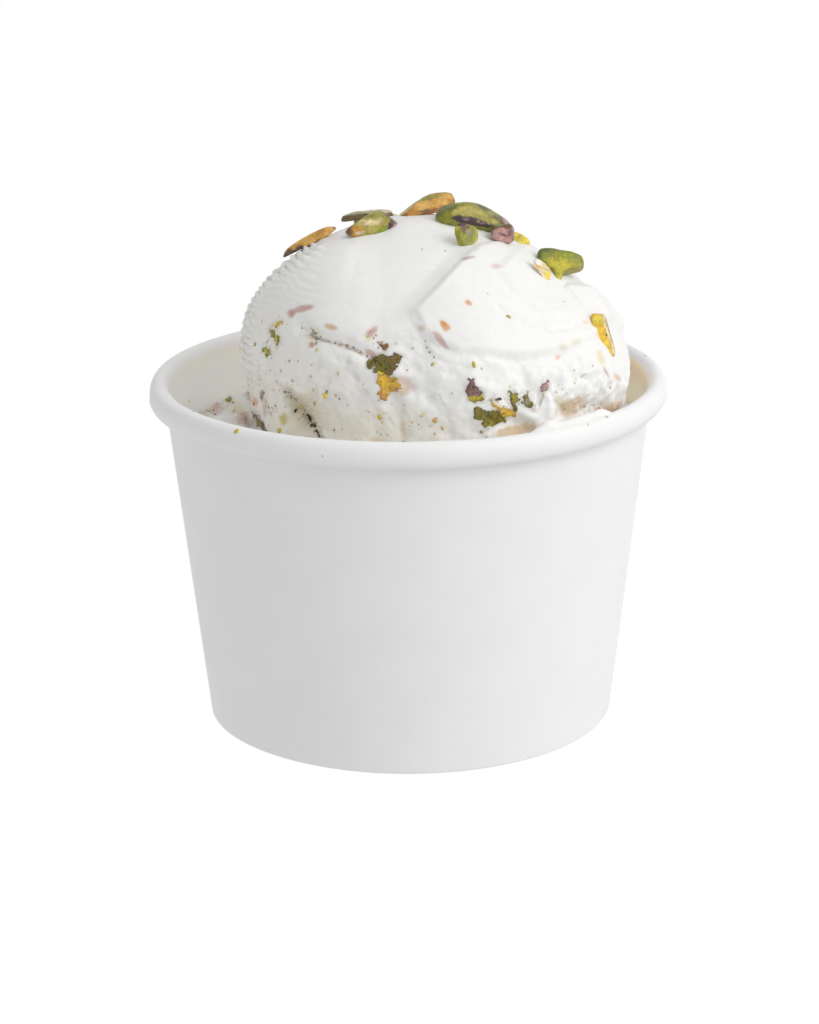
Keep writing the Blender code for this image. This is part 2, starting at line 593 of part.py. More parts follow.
def kernel_mesh(name, length, width, thickness, form, around, stations, grow=0.0):
    """A piece of nut kernel along X: fuller above than below, with flat cut faces and rounded edges."""
    shape = FORMS[form]
    x = np.repeat(-np.cos(math.pi * np.arange(1, stations) / stations), around)
    turn = np.tile(2 * math.pi * np.arange(around) / around, stations - 1)
    swell = (1 - np.abs(x) ** shape.blunt) ** (1 / shape.blunt)
    unit = np.stack([x, np.cos(turn) * swell, np.sin(turn) * swell], axis=1)
    unit = np.concatenate([unit, [[-1.0, 0.0, 0.0], [1.0, 0.0, 0.0]]])
    beyond = np.ones(len(unit))
    for way, distance in shape.cuts:
        way = np.array(way) / np.linalg.norm(way)
        beyond += np.maximum(unit @ way / distance, 0.0) ** EDGE_SHARPNESS
    x, y, z = (unit * beyond[:, None] ** (-1 / EDGE_SHARPNESS)).T
    narrow = 1 - shape.tail * ease(TAIL_START, TAIL_END, -y)
    share = np.where(z > 0, UPPER_SHARE, 1 - UPPER_SHARE)
    along = (TAIL_PLACE + (x - TAIL_PLACE) * narrow if shape.tail else x) * 0.5 * length
    across = y * 0.5 * width * (1 + shape.taper * x)
    points = np.stack([along, across, z * share * thickness - shape.bend * x * x], axis=1)
    faces = []
    for i in range(stations - 2):
        for j in range(around):
            k = (j + 1) % around
            a, b = i * around, (i + 1) * around
            faces += [(a + j, b + k, b + j), (a + j, a + k, b + k)]
    start, end = len(points) - 2, len(points) - 1
    last = (stations - 2) * around
    for j in range(around):
        k = (j + 1) % around
        faces += [(start, k, j), (end, last + j, last + k)]
    mesh = mesh_from(name, points, faces)
    outward = [vert.normal.copy() for vert in mesh.vertices]
    for vert, way in zip(mesh.vertices, outward):
        vert.co += way * (grow * MM)
    return mesh


def place_bits(table, normals):
    """Place, outward direction, width and height of each nut bit fused to the gelato."""
    ring = np.linspace(0, 2 * math.pi, 240, endpoint=False)
    turns, shares = (part.ravel() for part in np.meshgrid(ring, np.linspace(0.02, 0.98, 160)))
    skin = surface(turns, shares, table, normals)
    out = sample_table(normals, turns, shares)
    lift = (skin[:, 2] - CUP_HEIGHT) * math.cos(VIEW_TILT) + skin[:, 1] * math.sin(VIEW_TILT)
    bits = []
    for (x, h), wide, high in FRONT_BITS:
        miss = np.where(out[:, 1] > 0, np.inf, np.hypot(skin[:, 0] - x, lift - h))
        k = int(np.argmin(miss))
        bits.append((skin[k], out[k], wide, high))
    rng = np.random.default_rng(BIT_SEED)
    spots = [(0.05, 0.9, REAR_BITS, (0.42, 0.66), 3.6), (0.35, 0.8, FILL_BITS, (0.86, 0.92), 2.5)]
    for first, span, count, band, widest in spots:
        for n in range(count):
            turn = math.pi * (first + span * (n + rng.uniform(0.2, 0.8)) / count)
            k = int(np.argmin(np.abs(turns - turn) + 4 * np.abs(shares - rng.uniform(*band))))
            bits.append((skin[k], out[k], rng.uniform(1.6, widest), rng.uniform(1.6, 2.8)))
    return bits


def combine(obj, helpers, operation):
    """One Boolean with a collection of helpers, applied, with the helpers then removed."""
    group = bpy.data.collections.new("helpers")
    bpy.context.scene.collection.children.link(group)
    for helper in helpers:
        bpy.context.scene.collection.objects.unlink(helper)
        group.objects.link(helper)
        helper.hide_render = True
        helper.display_type = "WIRE"
    step = obj.modifiers.new(operation.lower(), "BOOLEAN")
    step.operation = operation
    step.operand_type = "COLLECTION"
    step.collection = group
    step.solver = "EXACT"
    bpy.context.view_layer.update()
    graph = bpy.context.evaluated_depsgraph_get()
    mesh = bpy.data.meshes.new_from_object(obj.evaluated_get(graph))
    obj.modifiers.clear()
    obj.data = mesh
    for helper in helpers:
        bpy.data.objects.remove(helper, do_unlink=True)
    bpy.data.collections.remove(group)


def add_bits(gelato, material):
    table = scoop_table()
    helpers = []
    for place, out, wide, high in place_bits(table, table_normals(table)):
        across = np.cross((0.0, 0.0, 1.0), out)
        bit = add_object("bit", kernel_mesh("bit", wide, high, BIT_DEPTH, "grain", 6, 4), material)
        bit.matrix_world = frame_of(place, across, out)
        helpers.append(bit)
    combine(gelato, helpers, "UNION")


def add_pieces(materials, parent=None, grow=0.0):
    """The pistachio pieces, or the same a little larger as cutters for their beds."""
    made = []
    for n, piece in enumerate(PIECES):
        name = f"pistachio_{n + 1:02d}"
        around, stations = (12, 9) if piece.length > LARGE_PIECE else (10, 7)
        mesh = kernel_mesh(
            name, piece.length, piece.width, piece.thickness, piece.form, around, stations, grow
        )
        obj = add_object(name, mesh, materials[piece.colour], parent)
        obj.matrix_world = frame_of(piece.place, piece.length_way, piece.up_way)
        made.append(obj)
    return made


def clear_scene():
    for obj in list(bpy.data.objects):
        bpy.data.objects.remove(obj, do_unlink=True)


def main():
    clear_scene()
    materials = {name: make_material(name, *look) for name, look in LOOKS.items()}
    whole = bpy.data.objects.new("gelato_cup", None)
    bpy.context.scene.collection.objects.link(whole)
    make_cup_wall(materials["paper"], whole)
    make_cup_base(materials["paper"], whole)
    gelato = make_gelato(materials["gelato"], whole)
    add_bits(gelato, materials["gelato"])
    combine(gelato, add_pieces(materials, grow=CLEARANCE), "DIFFERENCE")
    add_pieces(materials, whole)


main()
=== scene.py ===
"""Looks of the gelato cup: a white paper cup with a scoop of white gelato and pistachio pieces.
Lengths are millimetres in the part's own frame, and MM turns them into metres. Places marked as
pixels are of the 819 by 1024 photograph, and are carried onto the surface that the camera sees there."""

import math
from collections import namedtuple

import bpy
import numpy as np
from mathutils import Matrix, Vector
from mathutils.bvhtree import BVHTree

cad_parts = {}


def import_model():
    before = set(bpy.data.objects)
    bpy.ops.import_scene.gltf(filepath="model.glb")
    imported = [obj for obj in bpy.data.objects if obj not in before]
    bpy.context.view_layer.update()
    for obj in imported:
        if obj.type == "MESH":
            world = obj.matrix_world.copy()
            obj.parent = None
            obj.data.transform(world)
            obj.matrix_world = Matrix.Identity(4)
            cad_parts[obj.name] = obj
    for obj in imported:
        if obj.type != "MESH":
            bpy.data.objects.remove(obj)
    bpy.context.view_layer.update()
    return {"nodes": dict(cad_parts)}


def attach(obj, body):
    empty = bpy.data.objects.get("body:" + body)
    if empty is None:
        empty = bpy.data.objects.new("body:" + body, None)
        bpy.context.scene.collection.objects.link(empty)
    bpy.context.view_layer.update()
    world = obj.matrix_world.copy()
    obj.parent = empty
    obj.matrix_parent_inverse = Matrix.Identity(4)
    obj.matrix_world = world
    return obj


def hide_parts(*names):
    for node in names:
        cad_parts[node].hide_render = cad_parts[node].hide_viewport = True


MM = 0.001

# Camera
IMAGE = (819, 1024)
FOCAL_PIXELS = 2997.0
CAMERA_DISTANCE = 448.8
CAMERA_RISE = math.radians(18.10)
CAMERA_AIM_HEIGHT = 25.5
CAMERA_PITCH = math.radians(17.58)
CAMERA_ROLL = math.radians(-0.52)
SENSOR = 36.0
PIXELS_PER_MM = 7.15

# Paper cup, as in the part
RIM_RADIUS = 38.0
CUP_HEIGHT = 51.3
FOOT_RADIUS = 30.1
NECK_RADIUS = 35.5
BEAD_HALF_WIDTH = 1.44
BEAD_HALF_HEIGHT = 1.98
PAPER = 0.5
GAP = 0.3
BASE_RECESS = 6.0
FOLD_HEIGHT = 5.4
FOOT_ROUND = 0.35
BEAD_START = math.radians(-120)
SEAM_ANGLE = math.radians(190.5)
SEAM_STEP = 0.25
SEAM_WIDTH = 7.0
SEAM_END = 28.0
BEAD_STEPS = 40
WALL_STEPS = 24
CUP_COLUMNS = 320
INNER_ROWS = (0.02, 0.05, 0.1, 0.2, 0.4, 0.7)
FOOT_STEPS = 6
SEAM_COLUMNS = (-0.3, -0.15, -0.05, 0.05, 0.15, 0.3)
SEAM_EDGE = 0.12

# Scoop of gelato, as in the part
SCOOP_X = 7.3
SCOOP_Y = -3.5
SCOOP_WAIST_HEIGHT = 55.2
SCOOP_TOP_HEIGHT = 74.8
SCOOP_LEFT = 31.0
SCOOP_RIGHT = 25.0
SCOOP_FRONT = 28.5
SCOOP_BACK = 29.0
SCOOP_LEAN = -0.143
LEFT_FULLNESS = 2.06
RIGHT_FULLNESS = 1.6
FLANK_TAPER = 0.003
FILL_LEVEL = 44.7
FILL_RISE = 4.4
FILL_HIGH_SIDE = math.radians(285)
VIEW_TILT = math.radians(18)
TABLE_TURNS = 180
TABLE_SHARES = 160
BLEND_WIDTH = 2.6
BLEND_START = 20.0
CELLS = 310
SCENE_DENSITY = 0.32
RING_SPREAD = ((0.0, 0.16, 0.90, 1.0), (0.0, 0.28, 0.84, 1.0))
HEEL_HEIGHT = 0.02
HEEL_INSET = 0.8

# Outlines on the face of the scoop, as in the part: x across, and height as seen 18 degrees above
SCRAPE = (
    (-11.5, 8.0), (-9.5, 5.0), (-4.5, 4.2), (-1.0, 5.5), (4.5, 10.5), (9.5, 16.0), (8.0, 21.0),
    (-9.0, 21.0),
)
STROKE = (
    (9.8, 16.5), (6.6, 13.0), (4.5, 10.5), (1.0, 7.0), (2.0, 4.4), (3.5, 2.5), (7.0, 1.2),
    (15.0, 0.5), (22.0, 1.5), (28.0, 5.0), (24.0, 14.0), (16.0, 19.0),
)
UPPER_STROKE = (
    (12.5, 12.5), (14.5, 9.6), (19.0, 6.2), (24.0, 5.0), (29.0, 6.2), (27.0, 13.0), (17.0, 18.0),
)
FLAP = ((22.5, 10.5), (26.0, 10.5), (30.5, 7.6), (31.2, 5.8), (27.0, 5.6))
CRACK = ((-14.6, 5.4), (-12.8, 3.7), (-8.6, 2.4), (-5.5, 0.6), (-3.3, -0.8))
PIT = ((-17.3, -2.6), (-15.0, -4.5), (-12.0, -9.5), (-16.5, -9.5))
DRIP_GROOVE = ((-3.0, -3.0), (-2.0, -6.0), (-0.8, -10.0))
TORN = (
    (-15.0, 5.0), (-9.0, 2.6), (-5.0, 3.6), (2.0, 3.8), (4.0, 1.8), (12.0, 0.2), (24.0, 0.8),
    (36.0, -2.0), (36.0, -12.0), (-30.0, -12.0), (-24.0, -2.0),
)
HOLLOWS = (
    ((11.5, -8.3), (14.5, -7.6), (17.5, -8.6), (16.5, -10.0), (11.5, -10.0)),
    ((20.5, -6.0), (24.0, -5.0), (28.5, -6.0), (28.0, -8.0), (20.5, -8.0)),
)
MOUNDS = (((-26.5, -8.5), 6.5, 2.6), ((23.0, -25.0), 7.0, 2.6), ((10.0, 29.0), 6.0, 1.5))
CRUMBLE = ((18.0, -1.0), (24.0, 0.5), (36.0, 0.0), (36.0, -7.0), (17.0, -7.0))
SCRAPE_DEPTH = 0.9
STROKE_HEIGHT = 0.7
UPPER_STROKE_HEIGHT = 0.5
FLAP_HEIGHT = 0.9
CRACK_DEPTH = 0.8
PIT_DEPTH = 1.4
GROOVE_DEPTH = 0.5
HOLLOW_DEPTH = 0.9
HEAP_HEIGHT = 0.5
SWELL = (11.0, 0.45)
RIPPLE = (5.5, 0.2)
TORN_LUMPS = (5.0, 0.5)
TORN_GRAIN = (2.6, 0.35)
CRUMBLE_LUMPS = (3.0, 0.5)
REAR_LUMPS = (3.6, 0.6)
HEAP_LUMPS = (7.0, 1.0)
HEAP_GRAIN = (3.4, 0.6)

# Pistachio pieces, as in the part
Piece = namedtuple("Piece", "place length_way up_way length width thickness form slot")
PIECES = (
    Piece((-14.35, 2.4, 70.65), (7.5, 0.3, 4.1), (-0.43, -0.1, 0.9), 9.0, 3.4, 2.0, "sliver", "amber"),
    Piece((-5.9, 5.6, 73.6), (7.4, 0.6, 0.6), (-0.2, 0.0, 0.97), 7.9, 3.8, 1.7, "slab", "olive"),
    Piece((-5.0, -3.6, 74.15), (7.0, -0.8, 0.5), (-0.15, -0.3, 0.93), 7.8, 5.5, 2.9, "half", "olive"),
    Piece((3.0, 3.4, 75.15), (8.5, 1.6, 2.4), (-0.2, -0.1, 0.95), 9.2, 4.8, 2.9, "tapered", "amber"),
    Piece((9.7, -2.8, 75.0), (10.9, 0.6, -1.5), (0.1, -0.3, 0.94), 11.3, 5.9, 3.2, "whole", "olive"),
    Piece((8.5, -10.3, 74.1), (0.3, -0.4, -0.9), (0.15, -0.75, 0.62), 3.8, 3.3, 2.2, "block", "green"),
    Piece((13.7, -7.0, 73.45), (3.3, -0.6, -0.8), (0.2, -0.4, 0.9), 3.8, 3.2, 2.8, "chip", "purple"),
    Piece((16.0, -3.6, 71.9), (2.9, -0.4, -1.5), (0.4, -0.1, 0.9), 3.8, 1.8, 1.4, "rod", "yellow"),
    Piece((21.8, -8.7, 69.2), (6.7, 0.9, -1.0), (0.2, -0.62, 0.75), 6.9, 6.4, 2.2, "wedge", "green"),
    Piece((19.2, -12.9, 69.6), (2.1, -0.6, -2.8), (0.5, -0.45, 0.75), 4.0, 2.2, 1.2, "chip", "cream"),
    Piece((27.5, -15.8, 60.75), (2.0, 0.2, -6.6), (0.6, -0.75, 0.3), 7.5, 2.9, 1.6, "plate", "yellow"),
    Piece((-4.1, 12.6, 71.2), (1.0, 0.25, -0.1), (-0.13, 0.49, 0.87), 8.4, 4.6, 2.5, "half", "olive"),
    Piece((12.3, 13.4, 68.95), (-0.6, 0.8, -0.2), (0.35, 0.43, 0.83), 7.4, 3.2, 1.9, "sliver", "amber"),
    Piece((3.0, 20.6, 65.3), (0.8, 0.3, -0.45), (0.0, 0.77, 0.64), 6.8, 3.2, 1.7, "block", "green"),
)
# Form of a piece: bluntness of the ends, taper, bend, how much the lower side narrows to a tail, and
# its flat cut faces, each with a direction and a distance from the middle in halves of the piece
Form = namedtuple("Form", "blunt taper bend tail cuts")
FORMS = {
    "sliver": Form(1.7, -0.1, 0.3, 0.0, (
        ((0.0, -0.8, 0.6), 0.66), ((0.0, 0.4, 0.9), 0.6), ((-0.5, -0.5, -0.7), 0.66),
    )),
    "rod": Form(3.2, 0.0, 0.1, 0.0, (
        ((0.0, -0.7, 0.7), 0.62), ((0.9, 0.4, 0.0), 0.85), ((-0.9, 0.3, 0.3), 0.8),
    )),
    "slab": Form(3.2, 0.0, 0.1, 0.0, (
        ((0.0, 0.0, 1.0), 0.6), ((0.0, -0.6, -0.8), 0.62), ((0.9, 0.4, 0.0), 0.86),
        ((-0.9, 0.4, 0.2), 0.84),
    )),
    "plate": Form(3.6, 0.0, 0.0, 0.0, (
        ((0.0, -0.5, 0.86), 0.56), ((0.0, 0.55, 0.84), 0.7), ((0.8, -0.6, 0.0), 0.74),
        ((-0.9, 0.2, 0.0), 0.88),
    )),
    "half": Form(3.4, 0.0, 0.0, 0.0, (
        ((-0.76, 0.48, 0.44), 0.56), ((0.1, -0.8, 0.6), 0.66), ((0.85, -0.6, 0.0), 0.86),
        ((1.0, 0.4, 0.4), 0.84),
    )),
    "tapered": Form(2.6, -0.3, 0.0, 0.0, (
        ((0.1, -0.75, -0.65), 0.72), ((-0.7, 0.3, 0.7), 0.72), ((0.3, -0.5, 0.8), 0.68),
        ((1.0, 0.0, 0.0), 0.95),
    )),
    "whole": Form(2.1, -0.05, 0.6, 0.0, (
        ((0.05, -0.55, 0.83), 0.74), ((-0.1, -0.95, -0.2), 0.8), ((0.65, 0.2, 0.75), 0.66),
    )),
    "block": Form(3.4, 0.0, 0.0, 0.0, (
        ((0.0, 0.0, 1.0), 0.5), ((0.7, 0.6, 0.2), 0.88), ((-0.8, 0.5, 0.2), 0.86),
    )),
    "chip": Form(2.6, 0.0, 0.0, 0.0, (
        ((0.2, -0.75, 0.63), 0.5), ((0.9, 0.0, 0.3), 0.8), ((-0.6, 0.3, 0.7), 0.66),
    )),
    "wedge": Form(3.4, 0.0, 0.0, 0.75, (
        ((0.0, 0.0, 1.0), 0.66), ((0.15, 1.0, 0.1), 0.8), ((-0.87, -0.49, 0.0), 0.74),
    )),
    "grain": Form(2.6, 0.15, 0.0, 0.0, (
        ((0.3, -0.6, 0.7), 0.62), ((-0.7, 0.3, 0.6), 0.66), ((0.5, 0.8, 0.3), 0.7),
    )),
}
EDGE_SHARPNESS = 14
TAIL_PLACE = -0.25
TAIL_START = 0.0
TAIL_END = 0.6
UPPER_SHARE = 0.62
CREASE_WIDTH = 0.09
# Painted shade: how much darker a nut piece is along the edges between its faces
CREASE_SHADE = 0.2

# Nut bits that the photograph doesn't show, as in the part. Each band has the start and span of its turns
# in halves of the way round, the count, the range of shares of the way to the wall, and the widest bit.
BIT_BANDS = ((0.05, 0.9, 7, (0.42, 0.66), 3.6), (0.35, 0.8, 4, (0.86, 0.92), 2.5))
BIT_NARROWEST = 1.6
BIT_HEIGHTS = (1.6, 2.8)
BIT_SPACING = (0.2, 0.8)
BIT_SHARE_PULL = 4
BIT_GRID = (240, 160)
BIT_SEED = 11

# Colours, as linear red, green and blue
TONES = {
    "white": (0.90, 0.895, 0.875),
    "amber": (0.56, 0.27, 0.045),
    "light_amber": (0.72, 0.42, 0.10),
    "dark_brown": (0.10, 0.045, 0.022),
    "brown": (0.26, 0.13, 0.05),
    "olive": (0.33, 0.30, 0.055),
    "light_olive": (0.44, 0.38, 0.09),
    "dark_olive": (0.13, 0.11, 0.03),
    "green": (0.24, 0.29, 0.02),
    "bright_green": (0.52, 0.56, 0.06),
    "dark_green": (0.11, 0.13, 0.02),
    "golden": (0.82, 0.50, 0.03),
    "yellow": (0.80, 0.62, 0.06),
    "cream": (0.80, 0.66, 0.36),
    "purple": (0.24, 0.12, 0.13),
    "light_purple": (0.45, 0.27, 0.25),
    "pink": (0.55, 0.30, 0.26),
    "pale_pink": (0.78, 0.60, 0.54),
    "orange": (0.72, 0.30, 0.07),
    "beige": (0.72, 0.58, 0.40),
    "pale_green": (0.62, 0.64, 0.30),
    "grey_olive": (0.30, 0.27, 0.15),
    "dark_purple": (0.065, 0.035, 0.04),
    "lemon": (0.56, 0.47, 0.02),
    "leaf": (0.30, 0.25, 0.006),
    "deep_olive": (0.17, 0.14, 0.006),
    "dark": (0.035, 0.03, 0.012),
    "rose": (0.50, 0.20, 0.15),
    "tan": (0.66, 0.50, 0.30),
    "shade": (0.90, 0.87, 0.74),
    "moss": (0.27, 0.27, 0.015),
    "umber": (0.16, 0.09, 0.035),
}
PAPER_TONE = (0.88, 0.88, 0.877)
# Inner face of the wall: painted light, a brighter warm tone for light bounced from the gelato at the left,
# and painted tan shade at the right
INNER_BOUNCE_LIGHT = (0.98, 0.935, 0.85)
INNER_SHADE_RIGHT = (0.88, 0.75, 0.59)
INNER_GLOW = 1.1
# How far below the rim the painted light and shade of the inner face starts, and is full, at the left and at
# the right
INNER_STARTS = (0.3, 0.0)
INNER_FULL = (3.0, 0.8)

# Lights, in metres and watts, and the white floor
LIGHT_DISTANCE = 1.2
KEY_POWER = 6.4
KEY_SIZE = 0.8
KEY_RISE = math.radians(34)
KEY_TURN = math.radians(60)
TOP_POWER = 1.0
TOP_SIZE = 0.7
TOP_RISE = math.radians(62)
TOP_TURN = math.radians(100)
WORLD_LEVEL = 0.635
FLOOR_REACH = 4.0
FLOOR_DROP = 0.0002


def ease(low, high, value):
    t = np.clip((value - low) / (high - low), 0.0, 1.0)
    return t * t * (3.0 - 2.0 * t)


def wall_radius(z):
    neck = CUP_HEIGHT - 2 * BEAD_HALF_HEIGHT
    return FOOT_RADIUS + (NECK_RADIUS - FOOT_RADIUS) * z / neck


def inside_radius(z):
    return wall_radius(z) - PAPER - GAP


def camera_axes():
    """Eye and the right, up and forward directions of the photograph's camera, in millimetres."""
    eye = np.array((0.0, -CAMERA_DISTANCE * math.cos(CAMERA_RISE),
                    CAMERA_AIM_HEIGHT + CAMERA_DISTANCE * math.sin(CAMERA_RISE)))
    forward = np.array((0.0, math.cos(CAMERA_PITCH), -math.sin(CAMERA_PITCH)))
    right = np.array((1.0, 0.0, 0.0))
    up = np.cross(right, forward)
    c, s = math.cos(CAMERA_ROLL), math.sin(CAMERA_ROLL)
    return eye, c * right + s * up, c * up - s * right, forward


def pixels(points):
    """Where the camera sees points, in pixels of the photograph."""
    eye, right, up, forward = camera_axes()
    away = points - eye
    depth = away @ forward
    x = IMAGE[0] / 2 + FOCAL_PIXELS * (away @ right) / depth
    y = IMAGE[1] / 2 - FOCAL_PIXELS * (away @ up) / depth
    return np.stack([x, y], axis=1)


def make_camera():
    eye, right, up, forward = camera_axes()
    data = bpy.data.cameras.new("camera")
    data.sensor_width = SENSOR
    data.lens = SENSOR * FOCAL_PIXELS / max(IMAGE)
    data.clip_start, data.clip_end = 0.01, 20.0
    camera = bpy.data.objects.new("camera", data)
    columns = Matrix((right, up, -forward)).transposed().to_4x4()
    camera.matrix_world = Matrix.Translation(Vector(eye) * MM) @ columns
    bpy.context.scene.collection.objects.link(camera)
    bpy.context.scene.camera = camera


def hashed(x, y, z, seed):
    h = (x * 374761393 + y * 668265263 + z * 1274126177 + seed * 974634777) & 0xFFFFFFFF
    h = ((h ^ (h >> 13)) * 1103515245) & 0xFFFFFFFF
    h = ((h ^ (h >> 15)) * 668265263) & 0xFFFFFFFF
    return ((h ^ (h >> 16)) & 0xFFFF) / 32767.5 - 1.0


def lumps(points, size, height, seed):
    """Smooth random relief up to height out or in, with lumps about as wide as size."""
    turn = np.array(Matrix.Rotation(0.7 + seed, 3, Vector((1.0, 2.0, 0.5)).normalized()))
    p = points @ turn.T / size
    base = np.floor(p).astype(np.int64)
    f = p - base
    w = f * f * f * (f * (f * 6 - 15) + 10)
    total = np.zeros(len(p))
    for dx in (0, 1):
        for dy in (0, 1):
            for dz in (0, 1):
                part = np.where(dx, w[:, 0], 1 - w[:, 0]) * np.where(dy, w[:, 1], 1 - w[:, 1])
                part = part * np.where(dz, w[:, 2], 1 - w[:, 2])
                total += part * hashed(base[:, 0] + dx, base[:, 1] + dy, base[:, 2] + dz, seed)
    return height * total


def line_distance(q, corners, closed=False):
    """Distance from each flat point to a chain of corners."""
    corners = np.array(corners, float)
    ends = np.roll(corners, -1, axis=0)
    if not closed:
        corners, ends = corners[:-1], ends[:-1]
    best = np.full(len(q), 1e9)
    for a, b in zip(corners, ends):
        along = b - a
        t = np.clip((q - a) @ along / (along @ along), 0.0, 1.0)
        best = np.minimum(best, np.hypot(*(q - a - t[:, None] * along).T))
    return best


def depth_inside(q, corners):
    """Signed distance to a closed outline, more than zero inside."""
    corners = np.array(corners, float)
    ends = np.roll(corners, -1, axis=0)
    inside = np.zeros(len(q), bool)
    for (ax, ay), (bx, by) in zip(corners, ends):
        crosses = (ay > q[:, 1]) != (by > q[:, 1])
        span = by - ay if by != ay else 1e-9
        inside ^= crosses & (q[:, 0] < ax + (bx - ax) * (q[:, 1] - ay) / span)
    distance = line_distance(q, corners, closed=True)
    return np.where(inside, distance, -distance)


def relief(points, normals):
    """The part's own relief: how far the gelato stands out of, or sinks into, the plain scoop."""
    towards = np.array((0.0, -math.cos(VIEW_TILT), math.sin(VIEW_TILT)))
    facing = normals @ towards
    front = ease(-0.05, 0.4, facing)
    back = ease(-0.05, 0.4, -facing)
    rim_side = ease(-0.6, -0.1, facing)
    lift = (points[:, 2] - CUP_HEIGHT) * math.cos(VIEW_TILT)
    q = np.stack([points[:, 0], lift + points[:, 1] * math.sin(VIEW_TILT)], axis=1)
    scrape = depth_inside(q, SCRAPE)
    stroke = depth_inside(q, STROKE)
    upper = depth_inside(q, UPPER_STROKE)
    flap = depth_inside(q, FLAP)
    torn = ease(-1.0, 1.0, depth_inside(q, TORN))
    crumble = ease(-1.0, 1.5, depth_inside(q, CRUMBLE))
    shift = -SCRAPE_DEPTH * ease(-0.8, 3.0, scrape)
    shift += STROKE_HEIGHT * ease(-0.7, 0.7, stroke)
    shift += UPPER_STROKE_HEIGHT * ease(-0.7, 0.7, upper)
    shift -= CRACK_DEPTH * (1 - ease(0.0, 1.6, line_distance(q, CRACK)))
    shift -= PIT_DEPTH * ease(-1.0, 1.5, depth_inside(q, PIT))
    shift -= GROOVE_DEPTH * (1 - ease(0.0, 1.8, line_distance(q, DRIP_GROOVE)))
    shift += torn * (lumps(points, *TORN_LUMPS, 3) + lumps(points, *TORN_GRAIN, 4))
    shift += crumble * lumps(points, *CRUMBLE_LUMPS, 5)
    for hollow in HOLLOWS:
        shift -= HOLLOW_DEPTH * ease(-0.8, 1.0, depth_inside(q, hollow))
    away_side = lift - (points[:, 1] - 2 * SCOOP_Y) * math.sin(VIEW_TILT)
    mirrored = np.stack([-points[:, 0], away_side], axis=1)
    rear = STROKE_HEIGHT * ease(-0.9, 0.9, depth_inside(mirrored, STROKE))
    rear += UPPER_STROKE_HEIGHT * ease(-0.9, 0.9, depth_inside(mirrored, UPPER_STROKE))
    rear += ease(-1.0, 1.0, depth_inside(mirrored, TORN)) * lumps(points, *REAR_LUMPS, 6)
    low = lumps(points, *SWELL, 1) + lumps(points, *RIPPLE, 2)
    fold = FLAP_HEIGHT * ease(-1.0, 0.8, flap) * rim_side
    level = FILL_LEVEL + FILL_RISE * np.cos(np.arctan2(points[:, 1], points[:, 0]) - FILL_HIGH_SIDE)
    slump = (1 - ease(0.5, 3.0, points[:, 2] - level)) * ease(0.5, 0.85, normals[:, 2])
    heap = slump * (HEAP_HEIGHT + lumps(points, *HEAP_LUMPS, 8) + lumps(points, *HEAP_GRAIN, 9))
    for place, width, height in MOUNDS:
        away = np.hypot(points[:, 0] - place[0], points[:, 1] - place[1])
        heap += slump * height * (1 - ease(0.0, width, away))
    return front * shift + back * rear + fold + heap + low * (1 - 0.7 * ease(1.0, 3.0, scrape) * front)


def blended(rho, z):
    """The outline made even along its length, with the bends rounded."""
    length = np.concatenate([[0.0], np.cumsum(np.hypot(np.diff(rho), np.diff(z)))])
    fine = np.linspace(0.0, length[-1], 4 * TABLE_SHARES)
    rho = np.interp(fine, length, rho)
    z = np.interp(fine, length, z)
    half = max(3, int(BLEND_WIDTH / fine[1]))
    kernel = np.hanning(2 * half + 1)
    kernel /= kernel.sum()
    soft_rho = np.convolve(np.pad(rho, half, mode="edge"), kernel, mode="valid")
    soft_z = np.convolve(np.pad(z, half, mode="edge"), kernel, mode="valid")
    near = ease(0.0, 2.0 * half * fine[1], np.minimum(fine - BLEND_START, fine[-1] - fine))
    rho = rho + (soft_rho - rho) * near
    z = z + (soft_z - z) * near
    pick = np.linspace(0, len(fine) - 1, TABLE_SHARES)
    index = np.arange(len(fine))
    return np.interp(pick, index, rho), np.interp(pick, index, z)


def scoop_table():
    """The plain scoop and fill: positions by angle and by share of the way to the wall."""
    angles = 2 * math.pi * np.arange(TABLE_TURNS + 1) / TABLE_TURNS
    grid = np.zeros((TABLE_TURNS + 1, TABLE_SHARES, 3))
    for i, angle in enumerate(angles):
        c, s = math.cos(angle), math.sin(angle)
        across = SCOOP_RIGHT if c > 0 else SCOOP_LEFT
        along = SCOOP_BACK if s > 0 else SCOOP_FRONT
        reach = 1.0 / math.hypot(c / across, s / along)
        full = LEFT_FULLNESS + (RIGHT_FULLNESS - LEFT_FULLNESS) * float(ease(-1.0, 1.0, c))
        turn = np.linspace(0.0, math.pi / 2, 120)
        rise = np.cos(turn)
        rho = reach * np.maximum(1 - rise**full, 0.0) ** (1 / full)
        z = SCOOP_WAIST_HEIGHT + (SCOOP_TOP_HEIGHT - SCOOP_WAIST_HEIGHT) * rise
        level = FILL_LEVEL + FILL_RISE * math.cos(angle - FILL_HIGH_SIDE)
        down = np.linspace(SCOOP_WAIST_HEIGHT, level, 30)[1:]
        rho = np.concatenate([rho, reach * (1 - FLANK_TAPER * (SCOOP_WAIST_HEIGHT - down))])
        z = np.concatenate([z, down])
        limit = inside_radius(level)
        inward = SCOOP_X * c + SCOOP_Y * s
        to_wall = -inward + math.sqrt(inward**2 - SCOOP_X**2 - SCOOP_Y**2 + limit**2)
        out = np.linspace(rho[-1], to_wall, 20)[1:]
        rho = np.concatenate([rho, out])
        z = np.concatenate([z, np.full(len(out), level)])
        rho, z = blended(rho, z)
        shift = SCOOP_LEAN * np.maximum(z - SCOOP_WAIST_HEIGHT, 0.0)
        grid[i] = np.stack([SCOOP_X + shift + rho * c, SCOOP_Y + rho * s, z], axis=1)
    return grid


def table_normals(grid):
    ring = grid[:-1]
    around = np.roll(ring, -1, axis=0) - np.roll(ring, 1, axis=0)
    outward = np.gradient(ring, axis=1)
    normal = np.cross(outward, around)
    normal[:, :2] = normal[:, 2:3].mean(axis=0, keepdims=True)
    normal /= np.linalg.norm(normal, axis=2, keepdims=True)
    return np.concatenate([normal, normal[:1]], axis=0)


